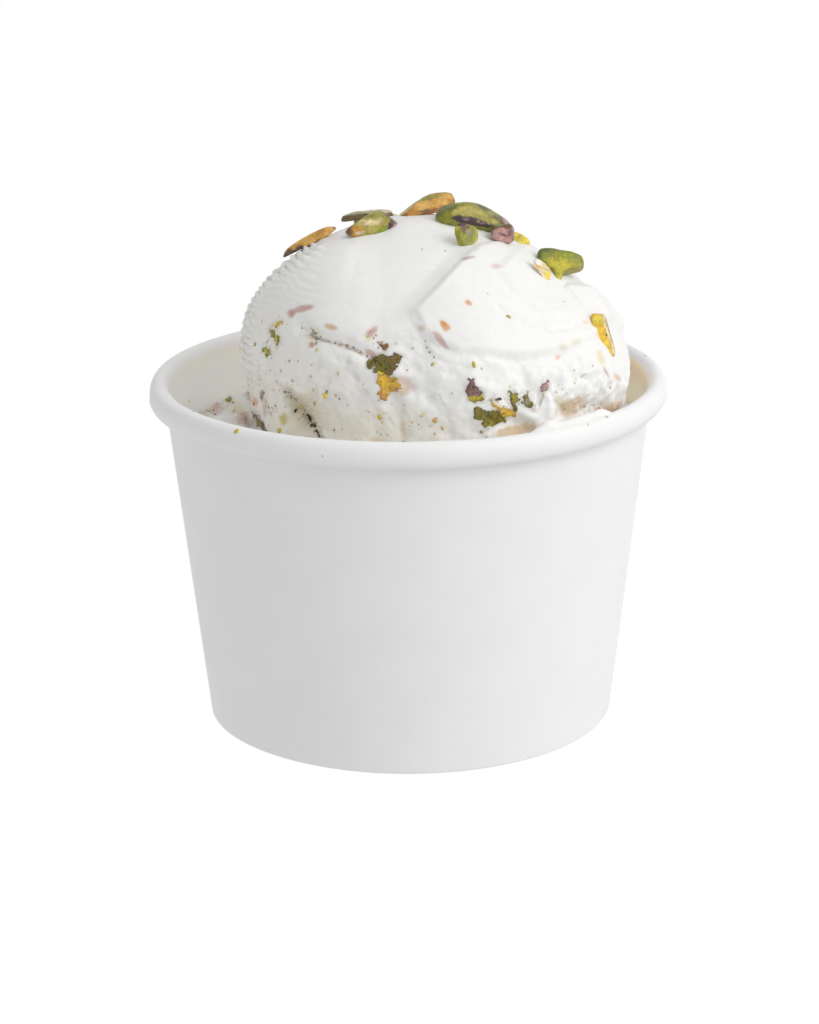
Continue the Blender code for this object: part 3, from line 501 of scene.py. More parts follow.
def sample_table(table, angle, share):
    """Bilinear lookup by angle and by share from the top (0) to the wall (1)."""
    turns, samples = table.shape[0] - 1, table.shape[1]
    a = (angle / (2 * math.pi) % 1.0) * turns
    s = np.clip(share, 0.0, 1.0) * (samples - 1)
    i = np.minimum(a.astype(int), turns - 1)
    j = np.minimum(s.astype(int), samples - 2)
    u = (a - i)[:, None]
    v = (s - j)[:, None]
    low = table[i, j] * (1 - v) + table[i, j + 1] * v
    high = table[i + 1, j] * (1 - v) + table[i + 1, j + 1] * v
    return low * (1 - u) + high * u


def disc_grid(cells, density):
    """A square grid laid onto a disc, closer together towards the front and down the sides."""
    line = np.linspace(-1.0, 1.0, cells + 1)
    y = line - density * (1 - line**2)
    gx, gy = np.meshgrid(line, y, indexing="ij")
    gx, gy = gx.ravel(), gy.ravel()
    wide = np.abs(gx) >= np.abs(gy)
    radius = np.where(wide, gx, gy)
    safe_x = np.where(gx == 0, 1.0, gx)
    safe_y = np.where(gy == 0, 1.0, gy)
    angle = np.where(wide, math.pi / 4 * gy / safe_x, math.pi / 2 - math.pi / 4 * gx / safe_y)
    angle = np.where((gx == 0) & (gy == 0), 0.0, angle)
    angle = np.where(radius < 0, angle + math.pi, angle) % (2 * math.pi)
    return angle, np.interp(np.abs(radius), *RING_SPREAD)


def surface(angle, share, table, normals):
    base = sample_table(table, angle, share)
    normal = sample_table(normals, angle, share)
    normal /= np.linalg.norm(normal, axis=1, keepdims=True)
    edge = ease(1.0, 0.94, share)
    moved = base + normal * (relief(base, normal) * edge)[:, None]
    return held_in(moved, share), normal


def held_in(moved, share):
    """Keeps the gelato inside the paper."""
    limit = inside_radius(moved[:, 2])
    radius = np.hypot(moved[:, 0], moved[:, 1])
    keep = np.where((moved[:, 2] < CUP_HEIGHT + 0.5) & (radius > limit), limit / radius, 1.0)
    keep = np.where(share > 0.999, limit / radius, keep)
    moved[:, :2] *= keep[:, None]
    return moved


# Fine relief of the scoop: lines and outlines in pixels of the photograph, mounds in millimetres. A pair
# of numbers is the width and height of random lumps, or the limits between which something fades.
COMBED = ((228, 392), (224, 330), (230, 288), (256, 258), (292, 238), (326, 240), (322, 275), (324, 311),
          (300, 318), (262, 336), (252, 392))
COMB_LEAN = 0.5
COMB_PERIOD = 8.5
COMB_DEPTH = 0.75
COMB_LEAST = 0.12
COMB_MIDDLE = 0.6
COMB_FADE = (-6.0, 8.0)
COMB_SIDES = (-0.12, 0.05)
COMB_DEEPENS = (0.45, 0.08)
COMB_WOBBLE = (4.0, 0.6)
COMB_FLUTTER = (1.6, 0.2)
COMB_UNEVEN = (3.0, 0.6)
SCRAPE_FILL = 0.6
SCRAPE_FILL_FADE = (-0.8, 3.0)
SCRAPE_SIDE_FADE = (-3.0, -8.5)
HEAP_MOUNDS = (((-24.5, 11.0), 7.5, 3.2), ((-25.5, -4.0), 6.0, 1.3), ((-27.5, -9.0), 4.0, 0.5))
CRACK_FILL = 0.45
CRACK_FILL_WIDTH = 1.6
UPPER_STROKE_FILL = 0.2
UPPER_STROKE_FADE = (-0.7, 0.7)
FACE_GRAIN = (1.5, 0.15)
FACE_FINE_GRAIN = (0.8, 0.09)
PORES = (1.3, 1.0)
PORE_CLUMPS = (5.0, 1.0)
PORE_DEPTH = 0.35
PORE_FADE = (0.3, 0.75)
PORE_CLUMP_FADE = (-0.3, 0.5)
FRONT_FADE = (0.0, 0.25)
TORN_FADE = (-1.2, 0.8)
REAR_FADE = (0.1, -0.3)
REAR_HEIGHT_FADE = (66.0, 58.0)
CRUMBLY = ((540, 372), (632, 362), (632, 412), (548, 418))
CRUMBLY_FADE = (-8.0, 6.0)
CRUMB_HEIGHT = 0.55
CRUMB_LUMPS = (1.9, 1.0)
CRUMB_GRAIN = (0.9, 0.2)
FINE_CRACK = ((302, 326), (315, 338), (345, 346), (368, 358), (384, 368))
FINE_CRACK_DEPTH = 0.22
FINE_CRACK_WIDTH = 3.5
FINE_CRACK_WANDER = (1.2, 2.0)
SIDE_CRACK = ((288, 393), (300, 412), (311, 425), (322, 442))
SIDE_CRACK_DEPTH = 0.8
SIDE_CRACK_WIDTH = 8.0
SIDE_CRACK_WANDER = (1.0, 3.5)
FINE_LIP = ((470, 252), (455, 270), (440, 285), (425, 300), (412, 311), (414, 320), (423, 331), (429, 346),
            (437, 355), (458, 362), (480, 364))
FLAP_CREASE = ((565, 284), (578, 300), (592, 313))
UPPER_CREASE = ((498, 306), (525, 322), (551, 330), (586, 325))
SIDE_RIDGE = ((281, 381), (291, 386), (302, 394))
THIN_CRACK = ((540, 392), (538, 405))
LEFT_LIP = ((229, 392), (240, 398), (262, 408))
# Each line with its height in millimetres, less than zero for a groove, and its half width in pixels
FINE_LINES = (
    (SIDE_RIDGE, 0.45, 5.0), (FINE_LIP, 0.16, 5.0), (UPPER_CREASE, -0.22, 4.0), (FLAP_CREASE, -0.3, 4.0),
    (THIN_CRACK, -0.4, 3.0), (LEFT_LIP, 0.3, 6.0),
)


def fine_relief(points, normals):
    """What is too small for the part's solid: comb marks, crisp lips, cracks, pores and crumbs."""
    eye = camera_axes()[0]
    sight = eye - points
    sight /= np.linalg.norm(sight, axis=1, keepdims=True)
    facing = np.einsum("ij,ij->i", normals, sight)
    front = ease(*FRONT_FADE, facing)
    p = pixels(points)
    lift = (points[:, 2] - CUP_HEIGHT) * math.cos(VIEW_TILT) + points[:, 1] * math.sin(VIEW_TILT)
    q = np.stack([points[:, 0], lift], axis=1)
    torn = ease(*TORN_FADE, depth_inside(q, TORN)) * front
    rear = ease(*REAR_FADE, facing) * ease(*REAR_HEIGHT_FADE, points[:, 2])
    low = np.maximum(torn, rear)
    comb = ease(*COMB_FADE, depth_inside(p, COMBED)) * ease(*COMB_SIDES, facing)
    wobble = lumps(points, *COMB_WOBBLE, 21) + lumps(points, *COMB_FLUTTER, 20)
    wave = np.abs(np.sin(math.pi * ((p[:, 1] - COMB_LEAN * p[:, 0]) / COMB_PERIOD + wobble)))
    deep = COMB_DEPTH * (COMB_LEAST + (1 - COMB_LEAST) * ease(*COMB_DEEPENS, facing))
    shift = comb * deep * (wave - COMB_MIDDLE) * (1 + lumps(points, *COMB_UNEVEN, 22))
    filled = ease(*SCRAPE_FILL_FADE, depth_inside(q, SCRAPE)) * ease(*SCRAPE_SIDE_FADE, q[:, 0])
    shift += front * SCRAPE_FILL * filled
    grain = lumps(points, *FACE_GRAIN, 23) + lumps(points, *FACE_FINE_GRAIN, 24)
    pores = ease(*PORE_FADE, lumps(points, *PORES, 25))
    pores = pores * ease(*PORE_CLUMP_FADE, lumps(points, *PORE_CLUMPS, 26))
    shift += low * (grain - PORE_DEPTH * pores)
    crumble = ease(*CRUMBLY_FADE, depth_inside(p, CRUMBLY)) * front
    crumbs = CRUMB_HEIGHT * np.abs(lumps(points, *CRUMB_LUMPS, 27))
    shift += crumble * (crumbs + lumps(points, *CRUMB_GRAIN, 28))
    crack = line_distance(p, FINE_CRACK) + lumps(points, *FINE_CRACK_WANDER, 29)
    shift -= front * FINE_CRACK_DEPTH * (1 - ease(0.0, FINE_CRACK_WIDTH, crack))
    shift -= front * UPPER_STROKE_FILL * ease(*UPPER_STROKE_FADE, depth_inside(q, UPPER_STROKE))
    shift += front * CRACK_FILL * (1 - ease(0.0, CRACK_FILL_WIDTH, line_distance(q, CRACK)))
    side = line_distance(p, SIDE_CRACK) + lumps(points, *SIDE_CRACK_WANDER, 30)
    shift -= front * SIDE_CRACK_DEPTH * (1 - ease(0.0, SIDE_CRACK_WIDTH, side))
    for line, height, width in FINE_LINES:
        shift += front * height * (1 - ease(0.0, width, line_distance(p, line)))
    return shift


def heap_rise(points, normals):
    """Extra height of the gelato that was pushed up beside the scoop."""
    rise = np.zeros(len(points))
    for place, width, height in HEAP_MOUNDS:
        away = np.hypot(points[:, 0] - place[0], points[:, 1] - place[1])
        rise += height * (1 - ease(0.0, width, away)) * ease(0.0, 0.4, normals[:, 2])
    return rise * (points[:, 2] < CUP_HEIGHT)


# Nut set flush in the gelato: outline, two tones, and how dark its edge is
Fleck = namedtuple("Fleck", "outline tones edge")
FLECKS = (
    Fleck(((381, 345), (387, 345), (386, 350), (383, 348)), ("brown", "brown"), 0.2),
    Fleck(((374, 356), (384, 354), (389, 357), (396, 354), (401, 357), (397, 364), (392, 374), (389, 376),
           (376, 371), (374, 367), (368, 367), (368, 362), (372, 359)), ("deep_olive", "umber"), 0.3),
    Fleck(((391, 357), (396, 354), (401, 357), (397, 364), (391, 370), (388, 363)),
          ("brown", "dark_brown"), 0.5),
    Fleck(((376, 370), (389, 374), (400, 382), (402, 388), (397, 391), (391, 394), (387, 400), (379, 399),
           (379, 394), (381, 390), (379, 385)), ("golden", "amber"), 0.3),
    Fleck(((466, 391), (469, 384), (469, 379), (473, 379), (474, 385), (481, 388), (483, 394), (476, 396),
           (469, 395)), ("purple", "umber"), 0.35),
    Fleck(((469, 395), (476, 395), (483, 394), (484, 398), (482, 402), (475, 402), (468, 400)),
          ("leaf", "lemon"), 0.35),
    Fleck(((474, 410), (477, 407), (484, 409), (490, 413), (497, 410), (506, 414), (504, 421), (496, 424),
           (486, 428), (480, 425), (481, 420), (476, 417)), ("leaf", "deep_olive"), 0.35),
    Fleck(((492, 399), (496, 397), (500, 399), (498, 402), (494, 402)), ("dark_brown", "dark"), 0.3),
    Fleck(((492, 404), (499, 405), (506, 408), (515, 413), (514, 416), (503, 416), (497, 414), (498, 410)),
          ("golden", "light_amber"), 0.3),
    Fleck(((509, 392), (516, 391), (518, 397), (521, 400), (516, 405), (517, 411), (514, 412), (511, 404),
           (510, 397)), ("deep_olive", "leaf"), 0.35),
    Fleck(((523, 392), (526, 393), (531, 400), (534, 405), (533, 408), (528, 408), (520, 404), (524, 399)),
          ("grey_olive", "deep_olive"), 0.3),
    Fleck(((269, 328), (273, 331), (275, 336), (280, 337), (280, 344), (276, 347), (274, 341), (270, 333)),
          ("leaf", "lemon"), 0.3),
    Fleck(((274, 326), (280, 320), (282, 321), (278, 327), (275, 329)), ("lemon", "golden"), 0.2),
    Fleck(((263, 350), (268, 348), (271, 353), (266, 356)), ("olive", "lemon"), 0.2),
    Fleck(((540, 389), (542, 383), (547, 381), (550, 386), (547, 391), (542, 393)),
          ("purple", "light_purple"), 0.35),
    Fleck(((226, 399), (229, 396), (232, 398), (230, 403), (227, 403)), ("olive", "lemon"), 0.2),
    Fleck(((253, 413), (256, 415), (263, 423), (267, 432), (264, 433), (258, 425)), ("brown", "olive"), 0.4),
    Fleck(((307, 415), (309, 416), (315, 426), (321, 436), (319, 437), (313, 427)), ("umber", "dark"), 0.3),
    Fleck(((595, 408), (598, 409), (606, 411), (609, 417), (604, 416), (599, 412)), ("rose", "orange"), 0.2),
)
FLECK_RAGGED = (0.7, 1.9)
FLECK_FINE = (0.3, 1.6)
FLECK_HEIGHT = 0.22
FLECK_HALO = 0.3
HALO_FADE = (-4.0, 2.0)
FLECK_STEP = 0.6
FLECK_MARGIN = 3.0
FLECK_STANDS_OUT = 0.14
FLECK_SINKS = 0.2
FLECK_SPOTS = (0.33, 1.0)
FLECK_SLOPE = (-1.2, 0.8)
FLECK_UNEVEN = 0.3
FLECK_OUTER = -1.4
FLECK_SPOTTED = (0.25, 0.6)
FLECK_SPOT_SHARE = 0.75
FLECK_SPOT_LEVEL = 0.25
FLECK_LIT = (0.3, 0.7)
FLECK_LIT_SHARE = 0.4
FLECK_LIT_LEVEL = 1.8
FLECK_LIT_MOST = 0.8
FLECK_EDGE = (0.2, 2.4)
FLECK_SEED = 400
MOST_STRETCH = 0.8

# Softer colours, both real stains and painted shade (in hollows, along a crease, under a nut piece, and over
# the low front and the left side): middle, half sizes, lean in degrees, tone, strength, and softness of the
# edge
StainAndShade = namedtuple("StainAndShade", "place size lean tone strength soft")
STAINS_AND_SHADE = (
    StainAndShade((291, 313), (4, 4), 0, "rose", 0.75, 0.4),
    StainAndShade((302, 309), (11, 3.2), -17, "pink", 0.7, 0.4),
    StainAndShade((303, 309), (7, 1.2), -17, "pale_pink", 0.7, 0.4),
    StainAndShade((330, 327), (6.5, 3), 20, "tan", 0.9, 0.4),
    StainAndShade((372, 331), (6, 4), -40, "pink", 0.75, 0.5),
    StainAndShade((368, 337), (5, 3.5), 20, "cream", 0.6, 0.5),
    StainAndShade((370, 353), (7, 3), 35, "pink", 0.7, 0.5),
    StainAndShade((445, 326), (6.5, 3.8), 42, "orange", 0.75, 0.3),
    StainAndShade((444, 324), (3.5, 2), 42, "light_amber", 0.8, 0.3),
    StainAndShade((441, 340), (10.5, 3.2), 48, "pink", 0.7, 0.35),
    StainAndShade((441, 340), (7, 1.4), 48, "white", 0.6, 0.35),
    StainAndShade((469, 303), (4.2, 2), 38, "orange", 0.8, 0.3),
    StainAndShade((422, 328), (3, 3), 0, "beige", 0.7, 0.4),
    StainAndShade((468, 258), (6.5, 1.5), -12, "light_purple", 0.7, 0.4),
    StainAndShade((496, 266), (5, 2.6), 10, "pale_pink", 0.8, 0.5),
    StainAndShade((406, 382), (10, 5), 35, "pink", 0.55, 0.7),
    StainAndShade((405, 391), (5, 4), -30, "tan", 0.6, 0.5),
    StainAndShade((322, 340), (15, 1.5), 18, "umber", 0.4, 0.7),
    StainAndShade((349, 348), (15, 2.0), 20, "brown", 0.35, 0.8),
    StainAndShade((314, 336), (6, 7), 20, "lemon", 0.3, 0.9),
    StainAndShade((312, 345), (2.4, 2.4), 0, "rose", 0.8, 0.4),
    StainAndShade((244, 418), (7, 5), 50, "rose", 0.65, 0.6),
    StainAndShade((239, 409), (8, 6), 30, "pale_green", 0.45, 0.8),
    StainAndShade((255, 402), (3.2, 4.5), 0, "orange", 0.6, 0.5),
    StainAndShade((262, 395), (1.8, 5), 5, "purple", 0.75, 0.5),
    StainAndShade((265, 408), (1.8, 8), 0, "pink", 0.45, 0.6),
    StainAndShade((216, 408), (5, 6), 40, "rose", 0.5, 0.6),
    StainAndShade((203, 414), (5, 3), 20, "brown", 0.4, 0.6),
    StainAndShade((198, 403), (9, 5), 20, "pale_green", 0.35, 0.9),
    StainAndShade((283, 420), (4, 5), 0, "lemon", 0.7, 0.6),
    StainAndShade((308, 410), (12, 16), -35, "tan", 0.4, 0.7),
    StainAndShade((295, 402), (14, 6), 50, "olive", 0.35, 0.9),
    StainAndShade((300, 428), (18, 10), -20, "shade", 0.8, 0.6),
    StainAndShade((300, 438), (16, 3), 5, "brown", 0.5, 0.6),
    StainAndShade((376, 441), (8, 4), 0, "tan", 0.5, 0.6),
    # painted shade along a crease
    StainAndShade((403, 430), (2.5, 15), -6, "tan", 0.4, 0.8),
    # painted shade in a hollow above the rim
    StainAndShade((515, 431), (22, 6), -14, "tan", 0.85, 0.35),
    StainAndShade((529, 428), (6, 4), 0, "amber", 0.35, 0.7),
    # the next two lines: painted shade in a second hollow above the rim
    StainAndShade((570, 408), (13, 7), -25, "tan", 0.8, 0.5),
    StainAndShade((612, 409), (11, 5), -25, "tan", 0.7, 0.5),
    StainAndShade((559, 400), (4, 4), 0, "pale_green", 0.5, 0.6),
    StainAndShade((578, 401), (2.2, 4.5), 0, "orange", 0.6, 0.4),
    StainAndShade((542, 399), (1.2, 6.5), 18, "grey_olive", 0.6, 0.5),
    StainAndShade((533, 410), (4, 2.5), 20, "rose", 0.45, 0.6),
    # painted shade under a nut piece
    StainAndShade((601, 358), (3.5, 7), -15, "cream", 0.6, 0.6),
    StainAndShade((617, 377), (4.5, 2), 45, "orange", 0.5, 0.6),
    StainAndShade((606, 372), (1.4, 5), -25, "light_purple", 0.6, 0.5),
    StainAndShade((594, 322), (5, 4), 0, "cream", 0.55, 0.7),
    StainAndShade((585, 322), (3, 2), 0, "light_amber", 0.35, 0.7),
    StainAndShade((558, 357), (2.4, 2.4), 0, "orange", 0.5, 0.6),
    StainAndShade((563, 347), (4, 3), 0, "lemon", 0.3, 0.8),
    StainAndShade((576, 342), (4.5, 2.5), -20, "lemon", 0.3, 0.8),
    StainAndShade((372, 430), (70, 22), 3, "shade", 0.5, 0.9),
    StainAndShade((300, 395), (60, 45), 30, "shade", 0.3, 0.9),
    StainAndShade((262, 330), (18, 60), 8, "shade", 0.25, 0.9),
)
REAR_STAINS = 30
REAR_STAIN_TURNS = (-0.05, 1.05)
REAR_STAIN_HEIGHTS = (44.0, 66.0)
REAR_STAIN_WIDTHS = (0.5, 1.8)
REAR_STAIN_TALLS = (0.4, 1.4)
REAR_STAIN_STRENGTHS = (0.3, 0.7)
REAR_STAIN_TONES = ("pink", "tan", "pale_green", "cream", "pale_pink", "lemon")
STAIN_SEED = 5
STAIN_AND_SHADE_RAGGED = (1.1, 0.3)
STAIN_AND_SHADE_FINE = (0.5, 0.22)
REAR_BIT_TONES = (("olive", "leaf"), ("brown", "tan"), ("golden", "amber"), ("purple", "light_purple"))


def front_facing(points, normals):
    """1 where a point faces the photograph's camera, 0 where it faces away."""
    away = camera_axes()[0] - points
    return ease(-0.1, 0.1, np.einsum("ij,ij->i", normals, away) / np.linalg.norm(away, axis=1))


def mixed(colours, mask, tone):
    return colours + (tone - colours) * mask[:, None]


def stain_and_shade_mask(p, mark, edge):
    turn = math.radians(mark.lean)
    c, s = math.cos(turn), math.sin(turn)
    d = p - np.array(mark.place)
    along = (d[:, 0] * c + d[:, 1] * s) / mark.size[0]
    across = (d[:, 1] * c - d[:, 0] * s) / mark.size[1]
    return 1 - ease(1 - mark.soft, 1 + mark.soft, np.hypot(along, across) + edge)


def painted(points, normals, bits):
    """Colour of each point of the gelato, with its stains and painted shade, and where nut stands out of it.
    """
    colours = np.tile(np.array(TONES["white"]), (len(points), 1))
    front = front_facing(points, normals)
    p = pixels(points)
    edge = lumps(points, *STAIN_AND_SHADE_RAGGED, 31) + lumps(points, *STAIN_AND_SHADE_FINE, 32)
    # stains, and painted shade in hollows, along a crease, under a nut piece and over the low parts
    for mark in reversed(STAINS_AND_SHADE):
        mask = stain_and_shade_mask(p, mark, edge) * front * mark.strength
        colours = mixed(colours, mask, np.array(TONES[mark.tone]))
    rng = np.random.default_rng(STAIN_SEED)
    for n in range(REAR_STAINS):
        turn = math.pi * rng.uniform(*REAR_STAIN_TURNS)
        height = rng.uniform(*REAR_STAIN_HEIGHTS)
        out = np.array((math.cos(turn), math.sin(turn)))
        flat = points[:, :2] - (SCOOP_X, SCOOP_Y)
        side = flat @ np.array((-out[1], out[0]))
        same = flat @ out > 0.3 * np.hypot(*flat.T)
        wide, high = rng.uniform(*REAR_STAIN_WIDTHS), rng.uniform(*REAR_STAIN_TALLS)
        distance = np.hypot(side / wide, (points[:, 2] - height) / high) + edge
        strength = rng.uniform(*REAR_STAIN_STRENGTHS)
        mask = (1 - ease(0.6, 1.2, distance)) * same * (1 - front) * strength
        tone = REAR_STAIN_TONES[n % len(REAR_STAIN_TONES)]
        colours = mixed(colours, mask, np.array(TONES[tone]))
    raised = np.zeros(len(points))
    ragged = lumps(points, *FLECK_RAGGED, 33) + lumps(points, *FLECK_FINE, 34)
    for fleck in FLECKS:
        mask = ease(*HALO_FADE, depth_inside(p, fleck.outline) + ragged) * front * FLECK_HALO
        colours = mixed(colours, mask, np.array(TONES[fleck.tones[0]]))
    for n, (place, out, wide, high) in enumerate(bits):
        across = np.cross((0.0, 0.0, 1.0), out)
        across /= np.linalg.norm(across)
        d = points - place
        far = np.hypot(2 * (d @ across) / wide, 2 * (d @ np.cross(out, across)) / high) + edge
        mask = (1 - ease(0.85, 1.15, far)) * (np.linalg.norm(d, axis=1) < wide + high)
        tone = mottled(points, REAR_BIT_TONES[n % len(REAR_BIT_TONES)], 300 + 3 * n)
        colours = mixed(colours, mask, tone * (1 - 0.4 * ease(0.5, 0.95, far))[:, None])
        raised = np.maximum(raised, mask)
    return colours, raised


def add_mesh(name, points, faces, material, colours=None):
    """A smooth mesh from points in millimetres, with an optional colour for each point."""
    mesh = bpy.data.meshes.new(name)
    mesh.from_pydata((np.asarray(points) * MM).tolist(), [], faces)
    mesh.shade_smooth()
    if colours is not None:
        layer = mesh.color_attributes.new("tint", "FLOAT_COLOR", "POINT")
        full = np.concatenate([colours, np.ones((len(colours), 1))], axis=1)
        layer.data.foreach_set("color", full.astype(np.float32).ravel())
    mesh.materials.append(material)
    obj = bpy.data.objects.new(name, mesh)
    bpy.context.scene.collection.objects.link(obj)
    return obj


def make_gelato(material):
    table = scoop_table()
    normals = table_normals(table)
    angle, share = disc_grid(CELLS, SCENE_DENSITY)
    points, out = surface(angle, share, table, normals)
    edge = ease(1.0, 0.97, share)
    points = points + out * (fine_relief(points, out) * edge)[:, None]
    points[:, 2] += heap_rise(points, out) * edge
    points = held_in(points, share)
    colours, raised = painted(points, out, place_bits(table, normals))
    points = held_in(points + out * (FLECK_HEIGHT * raised * edge)[:, None], share)
    side = CELLS + 1
    index = np.arange(side * side).reshape(side, side)
    a, b = index[:-1, :-1].ravel(), index[1:, :-1].ravel()
    c, d = index[1:, 1:].ravel(), index[:-1, 1:].ravel()
    half = np.arange(CELLS) < CELLS / 2
    falls = (half[:, None] == half[None, :]).ravel()
    first = np.where(falls[:, None], np.stack([a, b, d], 1), np.stack([a, b, c], 1))
    second = np.where(falls[:, None], np.stack([b, c, d], 1), np.stack([a, c, d], 1))
    faces = np.concatenate([first, second]).tolist()
    loop = np.concatenate([index[:-1, 0], index[-1, :-1], index[:0:-1, -1], index[0, :0:-1]])
    bottom = BASE_RECESS + PAPER + GAP
    rings = [loop]
    extra = []
    for height, inset in ((HEEL_HEIGHT, 0.0), (0.0, HEEL_INSET)):
        z = bottom + (points[loop, 2] - bottom) * height
        radius = inside_radius(z) - inset
        turn = np.arctan2(points[loop, 1], points[loop, 0])
        extra.append(np.stack([radius * np.cos(turn), radius * np.sin(turn), z], 1))
        rings.append(side * side + len(loop) * (len(rings) - 1) + np.arange(len(loop)))
    centre = side * side + 2 * len(loop)
    points = np.concatenate([points, *extra, [[0.0, 0.0, bottom]]])
    colours = np.concatenate([colours, np.tile(np.array(TONES["white"]), (len(points) - len(colours), 1))])
    for upper, lower in zip(rings, rings[1:]):
        after = np.roll(np.arange(len(loop)), -1)
        faces += np.stack([upper, lower, lower[after]], 1).tolist()
        faces += np.stack([upper, lower[after], upper[after]], 1).tolist()
    last = rings[-1]
    faces += [[int(u), centre, int(v)] for u, v in zip(last, np.roll(last, -1))]
    obj = add_mesh("gelato_scoop", points, faces, material, colours)
    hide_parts("gelato")
    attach(obj, "root")
    return obj


def seen_at(tree, spots):
    """Where lines of sight through pixels of the photograph meet the gelato, and which of them do."""
    eye, right, up, forward = camera_axes()
    ways = forward + np.outer((spots[:, 0] - IMAGE[0] / 2) / FOCAL_PIXELS, right)
    ways -= np.outer((spots[:, 1] - IMAGE[1] / 2) / FOCAL_PIXELS, up)
    places = np.zeros((len(spots), 3))
    outs = np.zeros((len(spots), 3))
    met = np.zeros(len(spots), bool)
    for n, way in enumerate(ways):
        hit, out, _, _ = tree.ray_cast(Vector(eye) * MM, Vector(way).normalized())
        if hit is not None:
            places[n], outs[n], met[n] = np.array(hit) / MM, out, True
    return places, outs, met


def fleck_sheet(tree, fleck, seed):
    """One bit of nut as a thin ragged sheet, laid on the gelato with its edge sunk into it."""
    corners = np.array(fleck.outline, float)
    low, high = corners.min(axis=0) - FLECK_MARGIN, corners.max(axis=0) + FLECK_MARGIN
    xs = np.arange(low[0], high[0], FLECK_STEP)
    ys = np.arange(low[1], high[1], FLECK_STEP)
    spots = np.stack([part.ravel() for part in np.meshgrid(xs, ys, indexing="ij")], axis=1)
    places, outs, met = seen_at(tree, spots)
    depth = depth_inside(spots, fleck.outline)
    depth += lumps(places, *FLECK_RAGGED, seed) + lumps(places, *FLECK_FINE, seed + 1)
    rise = -FLECK_SINKS + (FLECK_SINKS + FLECK_STANDS_OUT) * ease(*FLECK_SLOPE, depth)
    rise = rise * (1 + lumps(places, *FLECK_SPOTS, seed + 2) * FLECK_UNEVEN)
    tone = mottled(places, fleck.tones, seed + 3)
    spotted = ease(*FLECK_SPOTTED, lumps(places, *FLECK_SPOTS, seed + 4))
    tone = mixed(tone, FLECK_SPOT_SHARE * spotted, FLECK_SPOT_LEVEL * tone)
    lit = ease(*FLECK_LIT, lumps(places, *FLECK_SPOTS, seed + 5))
    tone = mixed(tone, FLECK_LIT_SHARE * lit, np.minimum(FLECK_LIT_LEVEL * tone, FLECK_LIT_MOST))
    tone = tone * (1 - fleck.edge * (1 - ease(*FLECK_EDGE, depth)))[:, None]
    keep = (met & (depth > FLECK_OUTER)).reshape(len(xs), len(ys))
    index = np.arange(len(spots)).reshape(keep.shape)
    faces = []
    for i in range(len(xs) - 1):
        for j in range(len(ys) - 1):
            ring = (index[i, j], index[i, j + 1], index[i + 1, j + 1], index[i + 1, j])
            if not keep[i:i + 2, j:j + 2].all():
                continue
            if np.ptp(places[list(ring)], axis=0).max() < MOST_STRETCH:
                faces.append(ring)
    used, flat = np.unique(np.array(faces).ravel(), return_inverse=True)
    points = places + outs * rise[:, None]
    return points[used], flat.reshape(-1, 4), tone[used]


def make_flecks(gelato, material):
    tree = BVHTree.FromObject(gelato, bpy.context.evaluated_depsgraph_get())
    all_points, all_faces, all_colours, count = [], [], [], 0
    for n, fleck in enumerate(FLECKS):
        points, faces, colours = fleck_sheet(tree, fleck, FLECK_SEED + 7 * n)
        all_points.append(points)
        all_colours.append(colours)
        all_faces += (faces + count).tolist()
        count += len(points)
    points, colours = np.concatenate(all_points), np.concatenate(all_colours)
    obj = add_mesh("nut_bits", points, all_faces, material, colours)
    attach(obj, "root")


def frame_of(place, length_way, up_way):
    """Turn and place that lay a mesh's X along the length and its Z along the upper face."""
    along = Vector(length_way).normalized()
    side = Vector(up_way).cross(along).normalized()
    turn = np.array(Matrix((along, side, along.cross(side))).transposed())
    return turn, np.array(place, float)


def kernel(length, width, thickness, form, around, stations):
    """A piece of nut kernel along X, as in the part: points, faces, places in the unit shape, the cut
    face on which each point lies, with 0 for the outer skin, and how near it is to a face's edge."""
    shape = FORMS[form]
    x = np.repeat(-np.cos(math.pi * np.arange(1, stations) / stations), around)
    turn = np.tile(2 * math.pi * np.arange(around) / around, stations - 1)
    swell = (1 - np.abs(x) ** shape.blunt) ** (1 / shape.blunt)
    unit = np.stack([x, np.cos(turn) * swell, np.sin(turn) * swell], axis=1)
    unit = np.concatenate([unit, [[-1.0, 0.0, 0.0], [1.0, 0.0, 0.0]]])
    reach = [np.ones(len(unit))]
    for way, distance in shape.cuts:
        way = np.array(way) / np.linalg.norm(way)
        reach.append(np.maximum(unit @ way / distance, 0.0))
    side = np.argmax(reach, axis=0)
    order = np.sort(reach, axis=0)
    crease = 1 - ease(0.0, CREASE_WIDTH, order[-1] / order[-2] - 1)
    unit = unit * (np.array(reach) ** EDGE_SHARPNESS).sum(axis=0)[:, None] ** (-1 / EDGE_SHARPNESS)
    x, y, z = unit.T
    narrow = 1 - shape.tail * ease(TAIL_START, TAIL_END, -y)
    share = np.where(z > 0, UPPER_SHARE, 1 - UPPER_SHARE)
    along = (TAIL_PLACE + (x - TAIL_PLACE) * narrow if shape.tail else x) * 0.5 * length
    across = y * 0.5 * width * (1 + shape.taper * x)
    points = np.stack([along, across, z * share * thickness - shape.bend * x * x], axis=1)
    faces = []
    for i in range(stations - 2):
        for j in range(around):
            k = (j + 1) % around
            a, b = i * around, (i + 1) * around
            faces.append((a + j, a + k, b + k, b + j))
    start, end = len(points) - 2, len(points) - 1
    last = (stations - 2) * around
    for j in range(around):
        k = (j + 1) % around
        faces.append((start, k, j))
        faces.append((end, last + j, last + k))
    return points, faces, unit, side, crease
